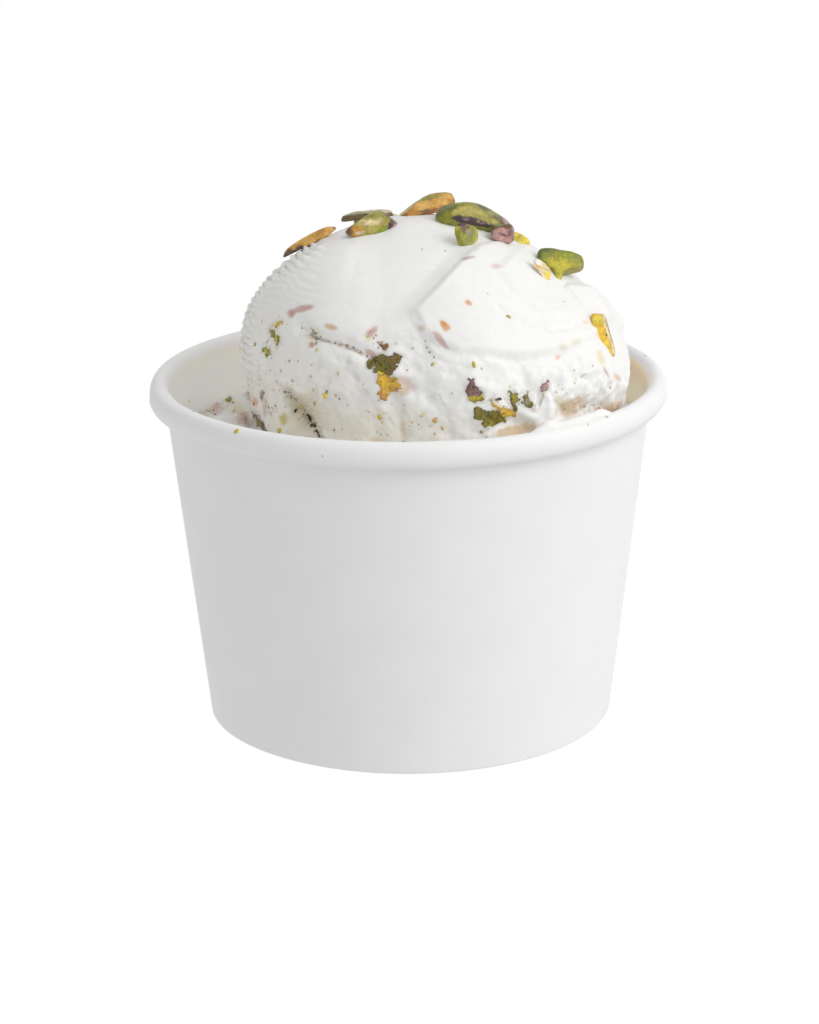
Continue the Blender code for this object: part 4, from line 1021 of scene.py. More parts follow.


# Looks of a piece: two tones of the skin, a pair of tones for each cut face, and patches, each with its
# middle and half sizes in the unit shape and the softness of its edge. Most patches are the nut's own
# colours; a few are painted highlights and painted shade
Patch = namedtuple("Patch", "place reach tone fade", defaults=(0.3,))
Look = namedtuple("Look", "skin cuts patches")
AMBER_SLIVER = Look(
    ("amber", "light_amber"),
    (("light_amber", "amber"), ("light_amber", "golden"), ("brown", "amber")),
    (
        Patch((-0.8, -0.3, -0.1), (0.5, 0.8, 0.9), "umber"),
        Patch((-0.95, 0.2, 0.3), (0.3, 0.6, 0.6), "dark_brown"),
        Patch((-0.45, -0.75, -0.1), (0.25, 0.4, 0.4), "dark_purple"),
        Patch((1.0, 0.0, 0.0), (0.12, 0.6, 0.6), "brown"),
        Patch((0.2, 0.6, 0.6), (0.9, 0.3, 0.3), "brown"),
    ),
)
OLIVE_SLAB = Look(
    ("dark_olive", "umber"),
    (
        ("grey_olive", "light_olive"), ("dark_olive", "dark"), ("light_amber", "olive"),
        ("amber", "dark_olive"),
    ),
    (
        Patch((0.8, -0.3, 0.6), (0.25, 0.6, 0.4), "beige"),
        Patch((-0.3, -0.6, 0.4), (0.5, 0.25, 0.3), "dark"),
        Patch((0.3, 0.5, 0.6), (0.5, 0.3, 0.3), "beige"),
    ),
)
BROKEN_HALF = Look(
    ("moss", "olive"),
    (("light_olive", "cream"), ("light_olive", "olive"), ("purple", "light_purple"), ("purple", "umber")),
    (
        Patch((-0.6, -0.7, 0.1), (0.55, 0.5, 0.45), "amber", 0.6),
        Patch((-0.9, -0.5, 0.0), (0.25, 0.6, 0.6), "umber", 0.5),
        # painted highlight on the front top
        Patch((0.1, -0.35, 0.6), (0.5, 0.3, 0.3), "cream", 0.8),
        Patch((-0.35, -0.8, 0.1), (0.2, 0.2, 0.2), "beige", 0.7),
        Patch((0.45, -0.75, 0.1), (0.24, 0.4, 0.26), "green", 0.15),
        Patch((0.1, -0.75, -0.5), (0.8, 0.5, 0.22), "lemon"),
        # painted shade: a dark line under the top face
        Patch((0.2, -0.8, -0.15), (0.12, 0.3, 0.12), "dark"),
        Patch((0.8, -0.6, 0.1), (0.14, 0.5, 0.7), "dark_purple"),
        Patch((0.95, -0.4, 0.1), (0.16, 0.5, 0.5), "light_purple"),
        Patch((-0.62, 0.1, 0.5), (0.16, 0.3, 0.3), "bright_green"),
    ),
)
AMBER_WEDGE = Look(
    ("amber", "brown"),
    (("orange", "amber"), ("light_amber", "light_olive"), ("amber", "light_amber"), ("light_amber", "olive")),
    (
        Patch((-0.55, -0.8, -0.4), (0.5, 0.5, 0.45), "umber"),
        Patch((-0.2, -0.8, 0.1), (0.3, 0.4, 0.25), "brown", 0.4),
        Patch((0.4, -0.8, -0.2), (0.35, 0.4, 0.3), "orange", 0.4),
        Patch((0.0, 0.1, 0.8), (0.9, 0.3, 0.3), "olive", 0.6),
    ),
)
WHOLE_GREEN = Look(
    ("moss", "dark_green"),
    (("olive", "light_olive"), ("moss", "green"), ("dark_olive", "olive")),
    (
        Patch((-0.6, -0.5, -0.1), (0.5, 0.7, 0.7), "moss", 0.5),
        Patch((-0.1, -0.2, 0.75), (0.5, 0.3, 0.3), "light_olive", 0.6),
        Patch((-0.55, -0.83, 0.5), (0.28, 0.3, 0.2), "dark_purple", 0.2),
        Patch((-0.2, -0.85, 0.38), (0.36, 0.3, 0.24), "dark_purple", 0.2),
        Patch((0.15, -0.88, 0.2), (0.3, 0.3, 0.26), "dark_purple", 0.2),
        Patch((-0.25, -0.86, 0.43), (0.12, 0.2, 0.08), "purple"),
        Patch((0.15, -0.88, 0.3), (0.1, 0.2, 0.08), "purple"),
        Patch((0.9, 0.0, 0.2), (0.2, 0.5, 0.5), "light_purple"),
    ),
)
GREEN_BLOCK = Look(
    ("lemon", "moss"),
    (("moss", "olive"), ("lemon", "moss"), ("moss", "lemon")),
    (
        Patch((-0.45, -0.1, 0.5), (0.5, 0.45, 0.4), "umber", 0.4),
        Patch((-0.1, 0.1, 0.5), (0.35, 0.3, 0.3), "grey_olive", 0.5),
        Patch((-0.9, 0.0, 0.3), (0.3, 0.9, 0.9), "dark_purple", 0.4),
    ),
)
PURPLE_CHIP = Look(
    ("light_purple", "umber"),
    (("pink", "purple"), ("umber", "light_purple"), ("purple", "umber")),
    (
        Patch((0.6, -0.2, 0.5), (0.4, 0.6, 0.5), "purple", 0.6),
        Patch((-0.1, 0.3, 0.8), (0.8, 0.4, 0.35), "umber", 0.4),
        Patch((-0.5, -0.7, 0.0), (0.3, 0.4, 0.4), "light_purple", 0.6),
        Patch((0.2, -0.5, 0.3), (0.6, 0.12, 0.2), "dark_purple", 0.7),
    ),
)
YELLOW_ROD = Look(
    ("lemon", "yellow"),
    (("lemon", "yellow"), ("lemon", "moss"), ("lemon", "moss")),
    (Patch((0.3, -0.6, -0.5), (0.8, 0.5, 0.4), "moss", 0.6),),
)
GREEN_WEDGE = Look(
    ("dark_green", "moss"),
    (("moss", "green"), ("dark_green", "moss"), ("dark_green", "green")),
    (
        Patch((0.1, -0.5, 0.5), (1.5, 1.1, 1.3), "lemon", 0.9),
        Patch((-0.3, -1.0, 0.3), (0.4, 0.8, 0.8), "lemon", 0.7),
        Patch((-0.8, 0.7, 0.4), (0.8, 0.8, 0.8), "dark_green", 0.9),
        Patch((0.6, 0.2, 0.65), (0.4, 0.3, 0.3), "olive", 0.8),
        Patch((0.95, -0.2, 0.2), (0.2, 0.6, 0.6), "olive", 0.6),
    ),
)
CREAM_CHIP = Look(
    ("cream", "white"),
    (("cream", "light_amber"), ("white", "cream"), ("cream", "white")),
    (
        Patch((0.55, -0.3, 0.4), (0.5, 0.8, 0.6), "yellow", 0.7),
        # painted highlight on the upper side of the left end
        Patch((-0.7, -0.3, 0.4), (0.4, 0.6, 0.5), "white", 0.5),
        Patch((0.0, -0.6, 0.3), (0.12, 0.6, 0.5), "beige"),
    ),
)
GOLDEN_PLATE = Look(
    ("golden", "amber"),
    (("golden", "yellow"), ("cream", "light_amber"), ("golden", "amber"), ("amber", "golden")),
    (
        Patch((0.02, 0.1, 0.62), (0.05, 0.1, 0.2), "dark_brown"),
        Patch((0.8, -0.2, 0.3), (0.25, 0.5, 0.5), "amber", 0.6),
        Patch((0.0, 0.8, 0.3), (0.8, 0.2, 0.4), "olive", 0.5),
    ),
)
KERNEL_LOOKS = (
    AMBER_SLIVER, OLIVE_SLAB, BROKEN_HALF, AMBER_WEDGE, WHOLE_GREEN, GREEN_BLOCK, PURPLE_CHIP, YELLOW_ROD,
    GREEN_WEDGE, CREAM_CHIP, GOLDEN_PLATE, BROKEN_HALF, AMBER_SLIVER, GREEN_BLOCK,
)
MOTTLE = (1.4, 0.6)
RAGGED = (0.8, 0.35)
RAGGED_FINE = (0.3, 0.2)
NUT_GRAIN = (0.4, 0.16)
NUT_FINE_GRAIN = (0.22, 0.14)


def mottled(points, tones, seed):
    """Two tones mixed in patches."""
    share = ease(-0.6, 0.6, lumps(points, MOTTLE[0], 1.0, seed) + lumps(points, MOTTLE[1], 0.5, seed + 1))
    first, second = (np.array(TONES[tone]) for tone in tones)
    return first + (second - first) * share[:, None]


def kernel_colours(points, unit, side, crease, look, seed):
    colours = mottled(points, look.skin, seed)
    for n, tones in enumerate(look.cuts):
        on_face = side == n + 1
        colours[on_face] = mottled(points[on_face], tones, seed + 2)
    ragged = lumps(points, *RAGGED, seed + 4) + lumps(points, *RAGGED_FINE, seed + 6)
    for patch in look.patches:
        away = np.linalg.norm((unit - np.array(patch.place)) / np.array(patch.reach), axis=1) + ragged
        colours = mixed(colours, 1 - ease(1.1 - patch.fade, 1.1, away), np.array(TONES[patch.tone]))
    grain = 1 + lumps(points, *NUT_GRAIN, seed + 5) + lumps(points, *NUT_FINE_GRAIN, seed + 3)
    # grain of the nut, and painted shade along the edges between its faces
    return colours * (grain * (1 - CREASE_SHADE * crease))[:, None]


PIECE_STEPS = 84
PIECE_TRIM = 0.05
PIECE_LUMPS = (1.8, 0.08)
PIECE_GRAIN = (0.5, 0.05)


def make_pieces(material):
    for n, (piece, look) in enumerate(zip(PIECES, KERNEL_LOOKS)):
        points, faces, unit, side, crease = kernel(
            piece.length, piece.width, piece.thickness, piece.form, PIECE_STEPS, PIECE_STEPS
        )
        seed = 40 + 7 * n
        colours = kernel_colours(points, unit, side, crease, look, seed)
        rough = lumps(points, *PIECE_LUMPS, seed) + lumps(points, *PIECE_GRAIN, seed + 1)
        outward = points / np.maximum(np.linalg.norm(points, axis=1, keepdims=True), 1e-6)
        points = points + outward * (rough - PIECE_TRIM)[:, None]
        turn, place = frame_of(piece.place, piece.length_way, piece.up_way)
        name = f"pistachio_{n + 1:02d}"
        obj = add_mesh(name + "_kernel", points @ turn.T + place, faces, material, colours)
        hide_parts(name)
        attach(obj, "root")


def place_bits(table, normals):
    """Place, outward direction, width and height of each nut bit out of the photograph's sight."""
    ring = np.linspace(0, 2 * math.pi, BIT_GRID[0], endpoint=False)
    turns, shares = (part.ravel() for part in np.meshgrid(ring, np.linspace(0.02, 0.98, BIT_GRID[1])))
    skin, _ = surface(turns, shares, table, normals)
    out = sample_table(normals, turns, shares)
    bits = []
    rng = np.random.default_rng(BIT_SEED)
    for first, span, count, band, widest in BIT_BANDS:
        for n in range(count):
            turn = math.pi * (first + span * (n + rng.uniform(*BIT_SPACING)) / count)
            share = rng.uniform(*band)
            k = int(np.argmin(np.abs(turns - turn) + BIT_SHARE_PULL * np.abs(shares - share)))
            bits.append((skin[k], out[k], rng.uniform(BIT_NARROWEST, widest), rng.uniform(*BIT_HEIGHTS)))
    return bits


# Specks of nut: place in pixels of the photograph, half size in pixels, and tone
SPECKS = (
    ((427, 347), 1.1, "dark"), ((430, 352), 1.3, "dark"), ((434, 357), 1.1, "dark"),
    ((425, 341), 0.8, "dark"), ((433, 365), 2.2, "lemon"), ((474, 365), 2.4, "lemon"),
    ((482, 368), 1.5, "pale_green"), ((412, 348), 1.6, "pale_green"), ((508, 317), 2.2, "lemon"),
    ((379, 417), 3.2, "yellow"), ((423, 415), 2.6, "cream"), ((435, 420), 3.0, "light_amber"),
    ((443, 429), 2.0, "light_amber"), ((452, 393), 1.2, "pale_green"), ((374, 338), 1.0, "dark_brown"),
    ((396, 344), 1.3, "tan"), ((482, 432), 2.0, "brown"), ((487, 438), 1.8, "tan"),
    ((403, 442), 2.4, "brown"), ((403, 405), 1.4, "tan"), ((335, 396), 2.0, "orange"),
    ((340, 399), 1.6, "brown"), ((338, 374), 2.2, "tan"), ((407, 370), 1.4, "pink"),
    ((315, 403), 2.4, "lemon"), ((325, 396), 2.8, "yellow"), ((327, 391), 1.6, "dark_purple"),
    ((313, 389), 1.8, "lemon"), ((255, 344), 2.6, "lemon"), ((277, 381), 1.7, "orange"),
    ((289, 361), 1.3, "brown"), ((298, 362), 1.3, "lemon"), ((281, 371), 2.0, "lemon"),
    ((269, 407), 2.2, "leaf"), ((295, 411), 2.2, "dark_purple"), ((334, 430), 1.5, "brown"),
    ((262, 322), 1.5, "pink"), ((313, 331), 1.5, "dark"), ((315, 334), 1.6, "dark"),
    ((317, 338), 1.6, "dark"), ((316, 342), 1.4, "dark"), ((320, 337), 1.3, "dark_olive"),
    ((312, 333), 1.2, "olive"), ((329, 342), 1.6, "brown"), ((335, 343), 1.4, "brown"),
    ((317, 350), 1.8, "lemon"), ((271, 355), 1.2, "dark_olive"), ((272, 359), 0.9, "dark"),
    ((264, 393), 1.8, "dark_purple"), ((254, 404), 2.2, "brown"), ((215, 414), 1.9, "brown"),
    ((421, 249), 1.8, "lemon"), ((446, 250), 0.9, "brown"), ((564, 302), 1.0, "grey_olive"),
    ((488, 294), 0.9, "grey_olive"), ((610, 387), 2.0, "lemon"), ((620, 380), 1.2, "brown"),
    ((556, 392), 1.2, "pale_green"), ((594, 410), 2.0, "golden"), ((603, 413), 2.2, "rose"),
    ((382, 360), 1.8, "dark"), ((380, 363), 1.4, "dark"), ((389, 366), 2.0, "dark_brown"),
    ((288, 438), 2.0, "brown"), ((296, 441), 1.8, "rose"), ((303, 440), 1.6, "olive"),
    ((312, 424), 1.6, "dark"), ((315, 430), 1.8, "dark"), ((318, 435), 1.8, "dark"),
    ((308, 417), 1.4, "dark_olive"), ((302, 407), 2.0, "lemon"), ((305, 411), 1.6, "brown"),
    ((291, 396), 1.8, "rose"), ((296, 399), 1.6, "olive"), ((264, 432), 1.6, "dark"),
    ((262, 427), 1.8, "lemon"), ((258, 421), 1.6, "rose"),
)
RIM_SPECKS = (
    ((604, 412), 2.4, "rose"), ((607, 416), 2.0, "orange"), ((600, 410), 1.8, "amber"),
    ((238, 432), 2.6, "lemon"), ((645, 356), 1.6, "leaf"), ((588, 424), 1.4, "pale_green"),
    ((325, 456), 0.8, "brown"), ((195, 408), 1.4, "olive"), ((188, 398), 1.6, "cream"),
)
SPECK_FLATNESS = 0.35
SPECK_SEED = 17
FRONT_SPECKS = 130
REAR_SPECKS = 260
SPECK_TONES = ("lemon", "light_olive", "tan", "rose", "lemon", "cream", "pale_green", "beige", "tan", "brown")

# Trails of specks: line in pixels of the photograph, count, spread to the sides in pixels, and tones
Trail = namedtuple("Trail", "line count spread tones")
TRAILS = (
    Trail(((286, 391), (300, 404), (309, 417), (321, 437)), 56, 5.0,
          ("brown", "olive", "rose", "light_olive", "lemon", "tan", "umber")),
    Trail(((302, 326), (315, 338), (345, 346), (372, 358)), 30, 1.6, ("umber", "brown", "rose", "tan")),
    Trail(((311, 328), (315, 336), (318, 346)), 18, 3.0, ("dark", "dark_olive", "lemon", "olive")),
    Trail(((262, 352), (270, 334), (280, 322)), 22, 5.0, ("lemon", "light_olive", "olive", "pale_green")),
    Trail(((204, 413), (216, 408), (230, 400)), 22, 4.0, ("rose", "brown", "lemon", "tan")),
    Trail(((252, 412), (260, 421), (267, 435)), 24, 2.0, ("rose", "brown", "olive", "umber")),
    Trail(((230, 408), (240, 416), (250, 424)), 20, 5.0, ("rose", "pink", "tan", "pale_green")),
    Trail(((286, 439), (316, 441)), 16, 2.2, ("rose", "brown", "olive", "tan")),
    Trail(((362, 332), (374, 338), (386, 352)), 14, 4.0, ("purple", "rose", "brown")),
    Trail(((366, 355), (372, 366), (376, 372)), 10, 2.0, ("dark", "umber")),
    Trail(((486, 398), (494, 402), (506, 404), (520, 410)), 14, 4.0, ("umber", "lemon", "golden", "olive")),
    Trail(((545, 392), (570, 380), (600, 372)), 14, 9.0, ("lemon", "tan", "rose", "pale_green")),
    Trail(((562, 408), (585, 404), (620, 409)), 22, 4.0, ("tan", "amber", "lemon", "beige")),
    Trail(((262, 372), (263, 396), (270, 412)), 22, 6.0, ("light_purple", "olive", "tan", "lemon")),
    Trail(((366, 412), (390, 420), (440, 428)), 20, 10.0, ("lemon", "tan", "light_amber", "cream")),
)
TRAIL_SPECK = (0.09, 0.30)
LOOSE_SPECK = (0.09, 0.41)
SPECK_LENGTHS = (0.8, 1.4)
SPECK_WIDTHS = (0.7, 1.1)
SPECK_DENT = 0.25
SPECK_SHADES = (0.75, 1.2)
SPECK_MOTTLE = (0.8, 1.15)
SPECK_LOW_FADE = (64.0, 50.0)
SPECK_LEFT_FADE = (2.0, -20.0)
SPECK_CLUMPS = (5.0, 1.0)
SPECK_CLUMP_FADE = (0.0, 0.8)
# Weights of the loose specks: all over, low down and outside the clumps; at the rear, all over and outside
FRONT_WEIGHTS = (0.02, 0.2, 0.1)
REAR_WEIGHTS = (0.03, 0.15)
# What a point that faces away, or lies further back, adds to its distance from a speck's pixel
HIDDEN_MISS = 100.0
DISTANCE_MISS = 0.05
LEAST_FACING = 0.1
SPECK_VEIL = 0.25


def skin_of(obj, count):
    """Points, in millimetres, and normals of an object's first vertices."""
    mesh = obj.data
    co = np.empty(len(mesh.vertices) * 3, np.float32)
    mesh.vertices.foreach_get("co", co)
    no = np.empty(len(mesh.vertices) * 3, np.float32)
    mesh.vertices.foreach_get("normal", no)
    return co.reshape(-1, 3)[:count].astype(float) / MM, no.reshape(-1, 3)[:count].astype(float)


def specks_at(named, points, normals):
    """Place, normal, half size and tone of specks that are named by pixel."""
    eye = camera_axes()[0]
    sight = eye - points
    facing = np.einsum("ij,ij->i", normals, sight) / np.linalg.norm(sight, axis=1)
    p = pixels(points)
    found = []
    for place, size, tone in named:
        miss = np.hypot(*(p - place).T) + HIDDEN_MISS * (facing < LEAST_FACING)
        k = int(np.argmin(miss + DISTANCE_MISS * np.linalg.norm(sight, axis=1)))
        found.append((points[k], normals[k], size / PIXELS_PER_MM, tone))
    return found


def trail_specks():
    """Place in pixels, half size in pixels and tone of the specks along each trail."""
    rng = np.random.default_rng(SPECK_SEED + 1)
    found = []
    for trail in TRAILS:
        line = np.array(trail.line, float)
        walked = np.concatenate([[0.0], np.cumsum(np.hypot(*np.diff(line, axis=0).T))])
        for _ in range(trail.count):
            spot = rng.uniform(0.0, walked[-1])
            x = np.interp(spot, walked, line[:, 0]) + trail.spread * rng.normal() / 2
            y = np.interp(spot, walked, line[:, 1]) + trail.spread * rng.normal() / 2
            size = TRAIL_SPECK[0] + (TRAIL_SPECK[1] - TRAIL_SPECK[0]) * rng.beta(1.2, 2.5)
            found.append(((x, y), size * PIXELS_PER_MM, trail.tones[rng.integers(len(trail.tones))]))
    return tuple(found)


def scattered_specks(points, normals):
    """More specks, drawn at random: thickest low on the left of the face, and even at the back."""
    front = front_facing(points, normals)
    low = ease(*SPECK_LOW_FADE, points[:, 2])
    left = ease(*SPECK_LEFT_FADE, points[:, 0])
    clumps = ease(*SPECK_CLUMP_FADE, lumps(points, *SPECK_CLUMPS, 60))
    everywhere, low_down, unclumped = FRONT_WEIGHTS
    rear_everywhere, rear_unclumped = REAR_WEIGHTS
    rng = np.random.default_rng(SPECK_SEED)
    found = []
    for count, weight in (
        (FRONT_SPECKS, front * (everywhere + low * (low_down + left)) * (unclumped + clumps)),
        (REAR_SPECKS, (1 - front) * (rear_everywhere + low) * (rear_unclumped + clumps)),
    ):
        for k in rng.choice(len(points), count, replace=False, p=weight / weight.sum()):
            size = LOOSE_SPECK[0] + (LOOSE_SPECK[1] - LOOSE_SPECK[0]) * rng.beta(1.0, 4.0)
            found.append((points[k], normals[k], size, SPECK_TONES[rng.integers(len(SPECK_TONES))]))
    return found


def crumb_shape():
    """A small uneven ball: a cube's corners and face middles on a sphere."""
    corners = [(x, y, z) for x in (-1, 1) for y in (-1, 1) for z in (-1, 1)]
    points = [np.array(c) / math.sqrt(3) for c in corners]
    middles = [(-1, 0, 0), (1, 0, 0), (0, -1, 0), (0, 1, 0), (0, 0, -1), (0, 0, 1)]
    points += [np.array(m, float) for m in middles]
    sides = ((0, 1, 3, 2), (4, 6, 7, 5), (0, 4, 5, 1), (2, 3, 7, 6), (0, 2, 6, 4), (1, 5, 7, 3))
    faces = []
    for n, ring in enumerate(sides):
        for i in range(4):
            faces.append((8 + n, ring[i], ring[(i + 1) % 4]))
    return np.array(points), faces


def make_specks(name, found, material):
    rng = np.random.default_rng(SPECK_SEED)
    unit, faces = crumb_shape()
    all_points, all_faces, all_colours = [], [], []
    for n, (place, out, size, tone) in enumerate(found):
        spin = rng.uniform(0, 2 * math.pi)
        turn, _ = frame_of(place, np.cross((math.cos(spin), math.sin(spin), 0.3), out), out)
        stretch = size * np.array((rng.uniform(*SPECK_LENGTHS), rng.uniform(*SPECK_WIDTHS), SPECK_FLATNESS))
        body = unit * (1 + rng.uniform(-SPECK_DENT, SPECK_DENT, (len(unit), 1))) * stretch
        all_points.append(place + body @ turn.T)
        all_faces += [tuple(n * len(unit) + i for i in face) for face in faces]
        shade = np.array(TONES[tone]) * rng.uniform(*SPECK_SHADES)
        shade += SPECK_VEIL * (np.array(TONES["white"]) - shade) * (size < TRAIL_SPECK[1])
        all_colours.append(np.tile(shade, (len(unit), 1)) * rng.uniform(*SPECK_MOTTLE, (len(unit), 1)))
    obj = add_mesh(name, np.concatenate(all_points), all_faces, material, np.concatenate(all_colours))
    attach(obj, "root")


def seam_offset(angle):
    """The sheet overlaps itself in a strip, so the outside steps out there and eases back."""
    run = (angle - SEAM_ANGLE) * NECK_RADIUS
    return SEAM_STEP * ease(-SEAM_EDGE, SEAM_EDGE, run) * (1.0 - ease(SEAM_WIDTH, SEAM_END, run))


def wall_profile():
    """Closed outline of the wall, as in the part: outside, bead, inside and the folded foot."""
    bead_x = RIM_RADIUS - BEAD_HALF_WIDTH
    bead_z = CUP_HEIGHT - BEAD_HALF_HEIGHT
    neck_z = CUP_HEIGHT - 2 * BEAD_HALF_HEIGHT
    slope = (NECK_RADIUS - FOOT_RADIUS) / neck_z
    outline = []
    for i in range(FOOT_STEPS + 1):
        turn = -math.pi / 2 + math.pi / 2 * i / FOOT_STEPS
        x = wall_radius(FOOT_ROUND) - FOOT_ROUND * (1 - math.cos(turn))
        outline.append((x, FOOT_ROUND + FOOT_ROUND * math.sin(turn)))
    for z in np.linspace(FOOT_ROUND, neck_z, WALL_STEPS + 1)[1:]:
        outline.append((wall_radius(z), z))
    for i in range(BEAD_STEPS + 1):
        turn = BEAD_START + (math.pi - BEAD_START) * i / BEAD_STEPS
        x = bead_x + BEAD_HALF_WIDTH * math.cos(turn)
        outline.append((x, bead_z + BEAD_HALF_HEIGHT * math.sin(turn)))
    top = outline[-1]
    foot = (wall_radius(PAPER) - PAPER, PAPER)
    for share in INNER_ROWS:
        outline.append((top[0] + (foot[0] - top[0]) * share, top[1] + (foot[1] - top[1]) * share))
    fold_outer = wall_radius(PAPER) - 2 * PAPER - 2 * GAP
    fold_inner = fold_outer - PAPER
    outline.append((wall_radius(PAPER) - PAPER, PAPER))
    outline.append((fold_outer, PAPER))
    outline.append((fold_outer + slope * FOLD_HEIGHT, FOLD_HEIGHT))
    outline.append((fold_inner + slope * FOLD_HEIGHT, FOLD_HEIGHT))
    outline.append((fold_inner, FOOT_ROUND))
    outline.append((fold_inner + FOOT_ROUND, 0.0))
    return outline


def make_cup(material):
    outline = wall_profile()
    turns = 2 * math.pi * np.arange(CUP_COLUMNS) / CUP_COLUMNS
    crowd = np.array(SEAM_COLUMNS) / NECK_RADIUS + SEAM_ANGLE
    turns = np.sort(np.concatenate([turns, crowd]))
    rows = len(outline)
    points = []
    for turn in turns:
        for x, z in outline:
            outside = x > wall_radius(z) - 0.5 * PAPER and z < CUP_HEIGHT - 0.1
            radius = x + (float(seam_offset(turn)) if outside else 0.0)
            points.append((radius * math.cos(turn), radius * math.sin(turn), z))
    faces = []
    columns = len(turns)
    for i in range(columns):
        k = (i + 1) % columns
        for j in range(rows):
            m = (j + 1) % rows
            faces.append((i * rows + j, k * rows + j, k * rows + m, i * rows + m))
    place = np.array(points)
    radius = np.hypot(place[:, 0], place[:, 1])
    # Painted light on the inner face: brighter and warm at the left for light bounced from the gelato,
    # painted tan shade at the right, fading in below the rim
    right = ease(0.0, 0.8 * RIM_RADIUS, place[:, 0])
    inner_top = CUP_HEIGHT - INNER_STARTS[0] + (INNER_STARTS[0] - INNER_STARTS[1]) * right
    inner_full = CUP_HEIGHT - INNER_FULL[0] + (INNER_FULL[0] - INNER_FULL[1]) * right
    inner = ease(inner_top, inner_full, place[:, 2])
    inner = inner * (radius < inside_radius(place[:, 2]) + 0.6 * PAPER)
    inner_light_and_shade = np.array(INNER_BOUNCE_LIGHT) + (np.array(INNER_SHADE_RIGHT) - np.array(INNER_BOUNCE_LIGHT)) * right[:, None]
    colours = np.array(PAPER_TONE) + (inner_light_and_shade - np.array(PAPER_TONE)) * inner[:, None]
    obj = add_mesh("cup_sheet", points, faces, material, colours)
    layer = obj.data.attributes.new("inner", "FLOAT", "POINT")
    layer.data.foreach_set("value", inner.astype(np.float32))
    obj.data.set_sharp_from_angle(angle=math.radians(50))
    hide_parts("cup_wall")
    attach(obj, "root")
    return obj


# Gelato melted over the inner edge of the rim, at the front right
SMEAR_FROM = math.radians(-64)
SMEAR_TO = math.radians(-37)
SMEAR_OUTSIDE = math.radians(72)
SMEAR_INSIDE = math.radians(195)
SMEAR_HEIGHT = 1.15
SMEAR_STEPS = (90, 36)
SMEAR_END_FADES = ((0.0, 0.22), (1.0, 0.8))
SMEAR_EDGE_FADE = (0.0, 0.3)
SMEAR_RAGGED = (2.2, 0.12)
SMEAR_UNEVEN = (2.6, 0.3)
SMEAR_SINKS = 0.12


def round_the_cup(place, turn):
    """Points from distances from the cup's axis, heights and angles."""
    return np.stack([place[:, 0] * np.cos(turn), place[:, 0] * np.sin(turn), place[:, 1]], axis=1)


def make_smear(material):
    across, down = SMEAR_STEPS
    along_rim = np.linspace(SMEAR_FROM, SMEAR_TO, across)
    over_bead = np.linspace(SMEAR_OUTSIDE, SMEAR_INSIDE, down)
    turn, round_bead = (part.ravel() for part in np.meshgrid(along_rim, over_bead, indexing="ij"))
    ways = np.stack([np.cos(round_bead) / BEAD_HALF_WIDTH, np.sin(round_bead) / BEAD_HALF_HEIGHT], axis=1)
    ways /= np.linalg.norm(ways, axis=1, keepdims=True)
    place = np.stack([RIM_RADIUS - BEAD_HALF_WIDTH + BEAD_HALF_WIDTH * np.cos(round_bead),
                      CUP_HEIGHT - BEAD_HALF_HEIGHT + BEAD_HALF_HEIGHT * np.sin(round_bead)], axis=1)
    flat = round_the_cup(place, turn)
    u = (turn - SMEAR_FROM) / (SMEAR_TO - SMEAR_FROM)
    v = (round_bead - SMEAR_OUTSIDE) / (SMEAR_INSIDE - SMEAR_OUTSIDE)
    body = ease(*SMEAR_END_FADES[0], u) * ease(*SMEAR_END_FADES[1], u)
    body = body * ease(*SMEAR_EDGE_FADE, v + lumps(flat, *SMEAR_RAGGED, 70))
    thick = SMEAR_HEIGHT * (body - SMEAR_SINKS) * (1 + lumps(flat, *SMEAR_UNEVEN, 71))
    points = round_the_cup(place + ways * thick[:, None], turn)
    faces = []
    for i in range(across - 1):
        for j in range(down - 1):
            a, b = i * down + j, (i + 1) * down + j
            faces.append((a, a + 1, b + 1, b))
    colours = np.tile(np.array(TONES["white"]), (len(points), 1))
    obj = add_mesh("gelato_smear", points, faces, material, colours)
    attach(obj, "root")


def new_material(name, roughness):
    material = bpy.data.materials.new(name)
    material.use_nodes = True
    nodes = material.node_tree.nodes
    shader = nodes["Principled BSDF"]
    shader.inputs["Roughness"].default_value = roughness
    return material, nodes, material.node_tree.links, shader


def noise(nodes, links, source, scale, detail):
    node = nodes.new("ShaderNodeTexNoise")
    node.inputs["Scale"].default_value = scale
    node.inputs["Detail"].default_value = detail
    links.new(source, node.inputs["Vector"])
    return node.outputs["Fac"]


def ramp(nodes, links, source, taken, given):
    """The source carried from the one range to the other."""
    node = nodes.new("ShaderNodeMapRange")
    node.inputs["From Min"].default_value, node.inputs["From Max"].default_value = taken
    node.inputs["To Min"].default_value, node.inputs["To Max"].default_value = given
    links.new(source, node.inputs["Value"])
    return node.outputs["Result"]


def bump(nodes, links, height, distance, strength):
    node = nodes.new("ShaderNodeBump")
    node.inputs["Strength"].default_value = strength
    node.inputs["Distance"].default_value = distance
    links.new(height, node.inputs["Height"])
    return node.outputs["Normal"]


def scaled_colour(nodes, links, colour, factor):
    node = nodes.new("ShaderNodeVectorMath")
    node.operation = "SCALE"
    links.new(colour, node.inputs["Vector"])
    links.new(factor, node.inputs["Scale"])
    return node.outputs["Vector"]


def tinted_material(name, roughness):
    """A new material whose colour comes from its points: the parts that a look is built from."""
    material, nodes, links, shader = new_material(name, roughness)
    place = nodes.new("ShaderNodeTexCoord").outputs["Object"]
    tint = nodes.new("ShaderNodeAttribute")
    tint.attribute_name = "tint"
    return material, nodes, links, shader, place, tint.outputs["Color"]


def set_inputs(shader, values):
    for name, value in values.items():
        shader.inputs[name].default_value = value


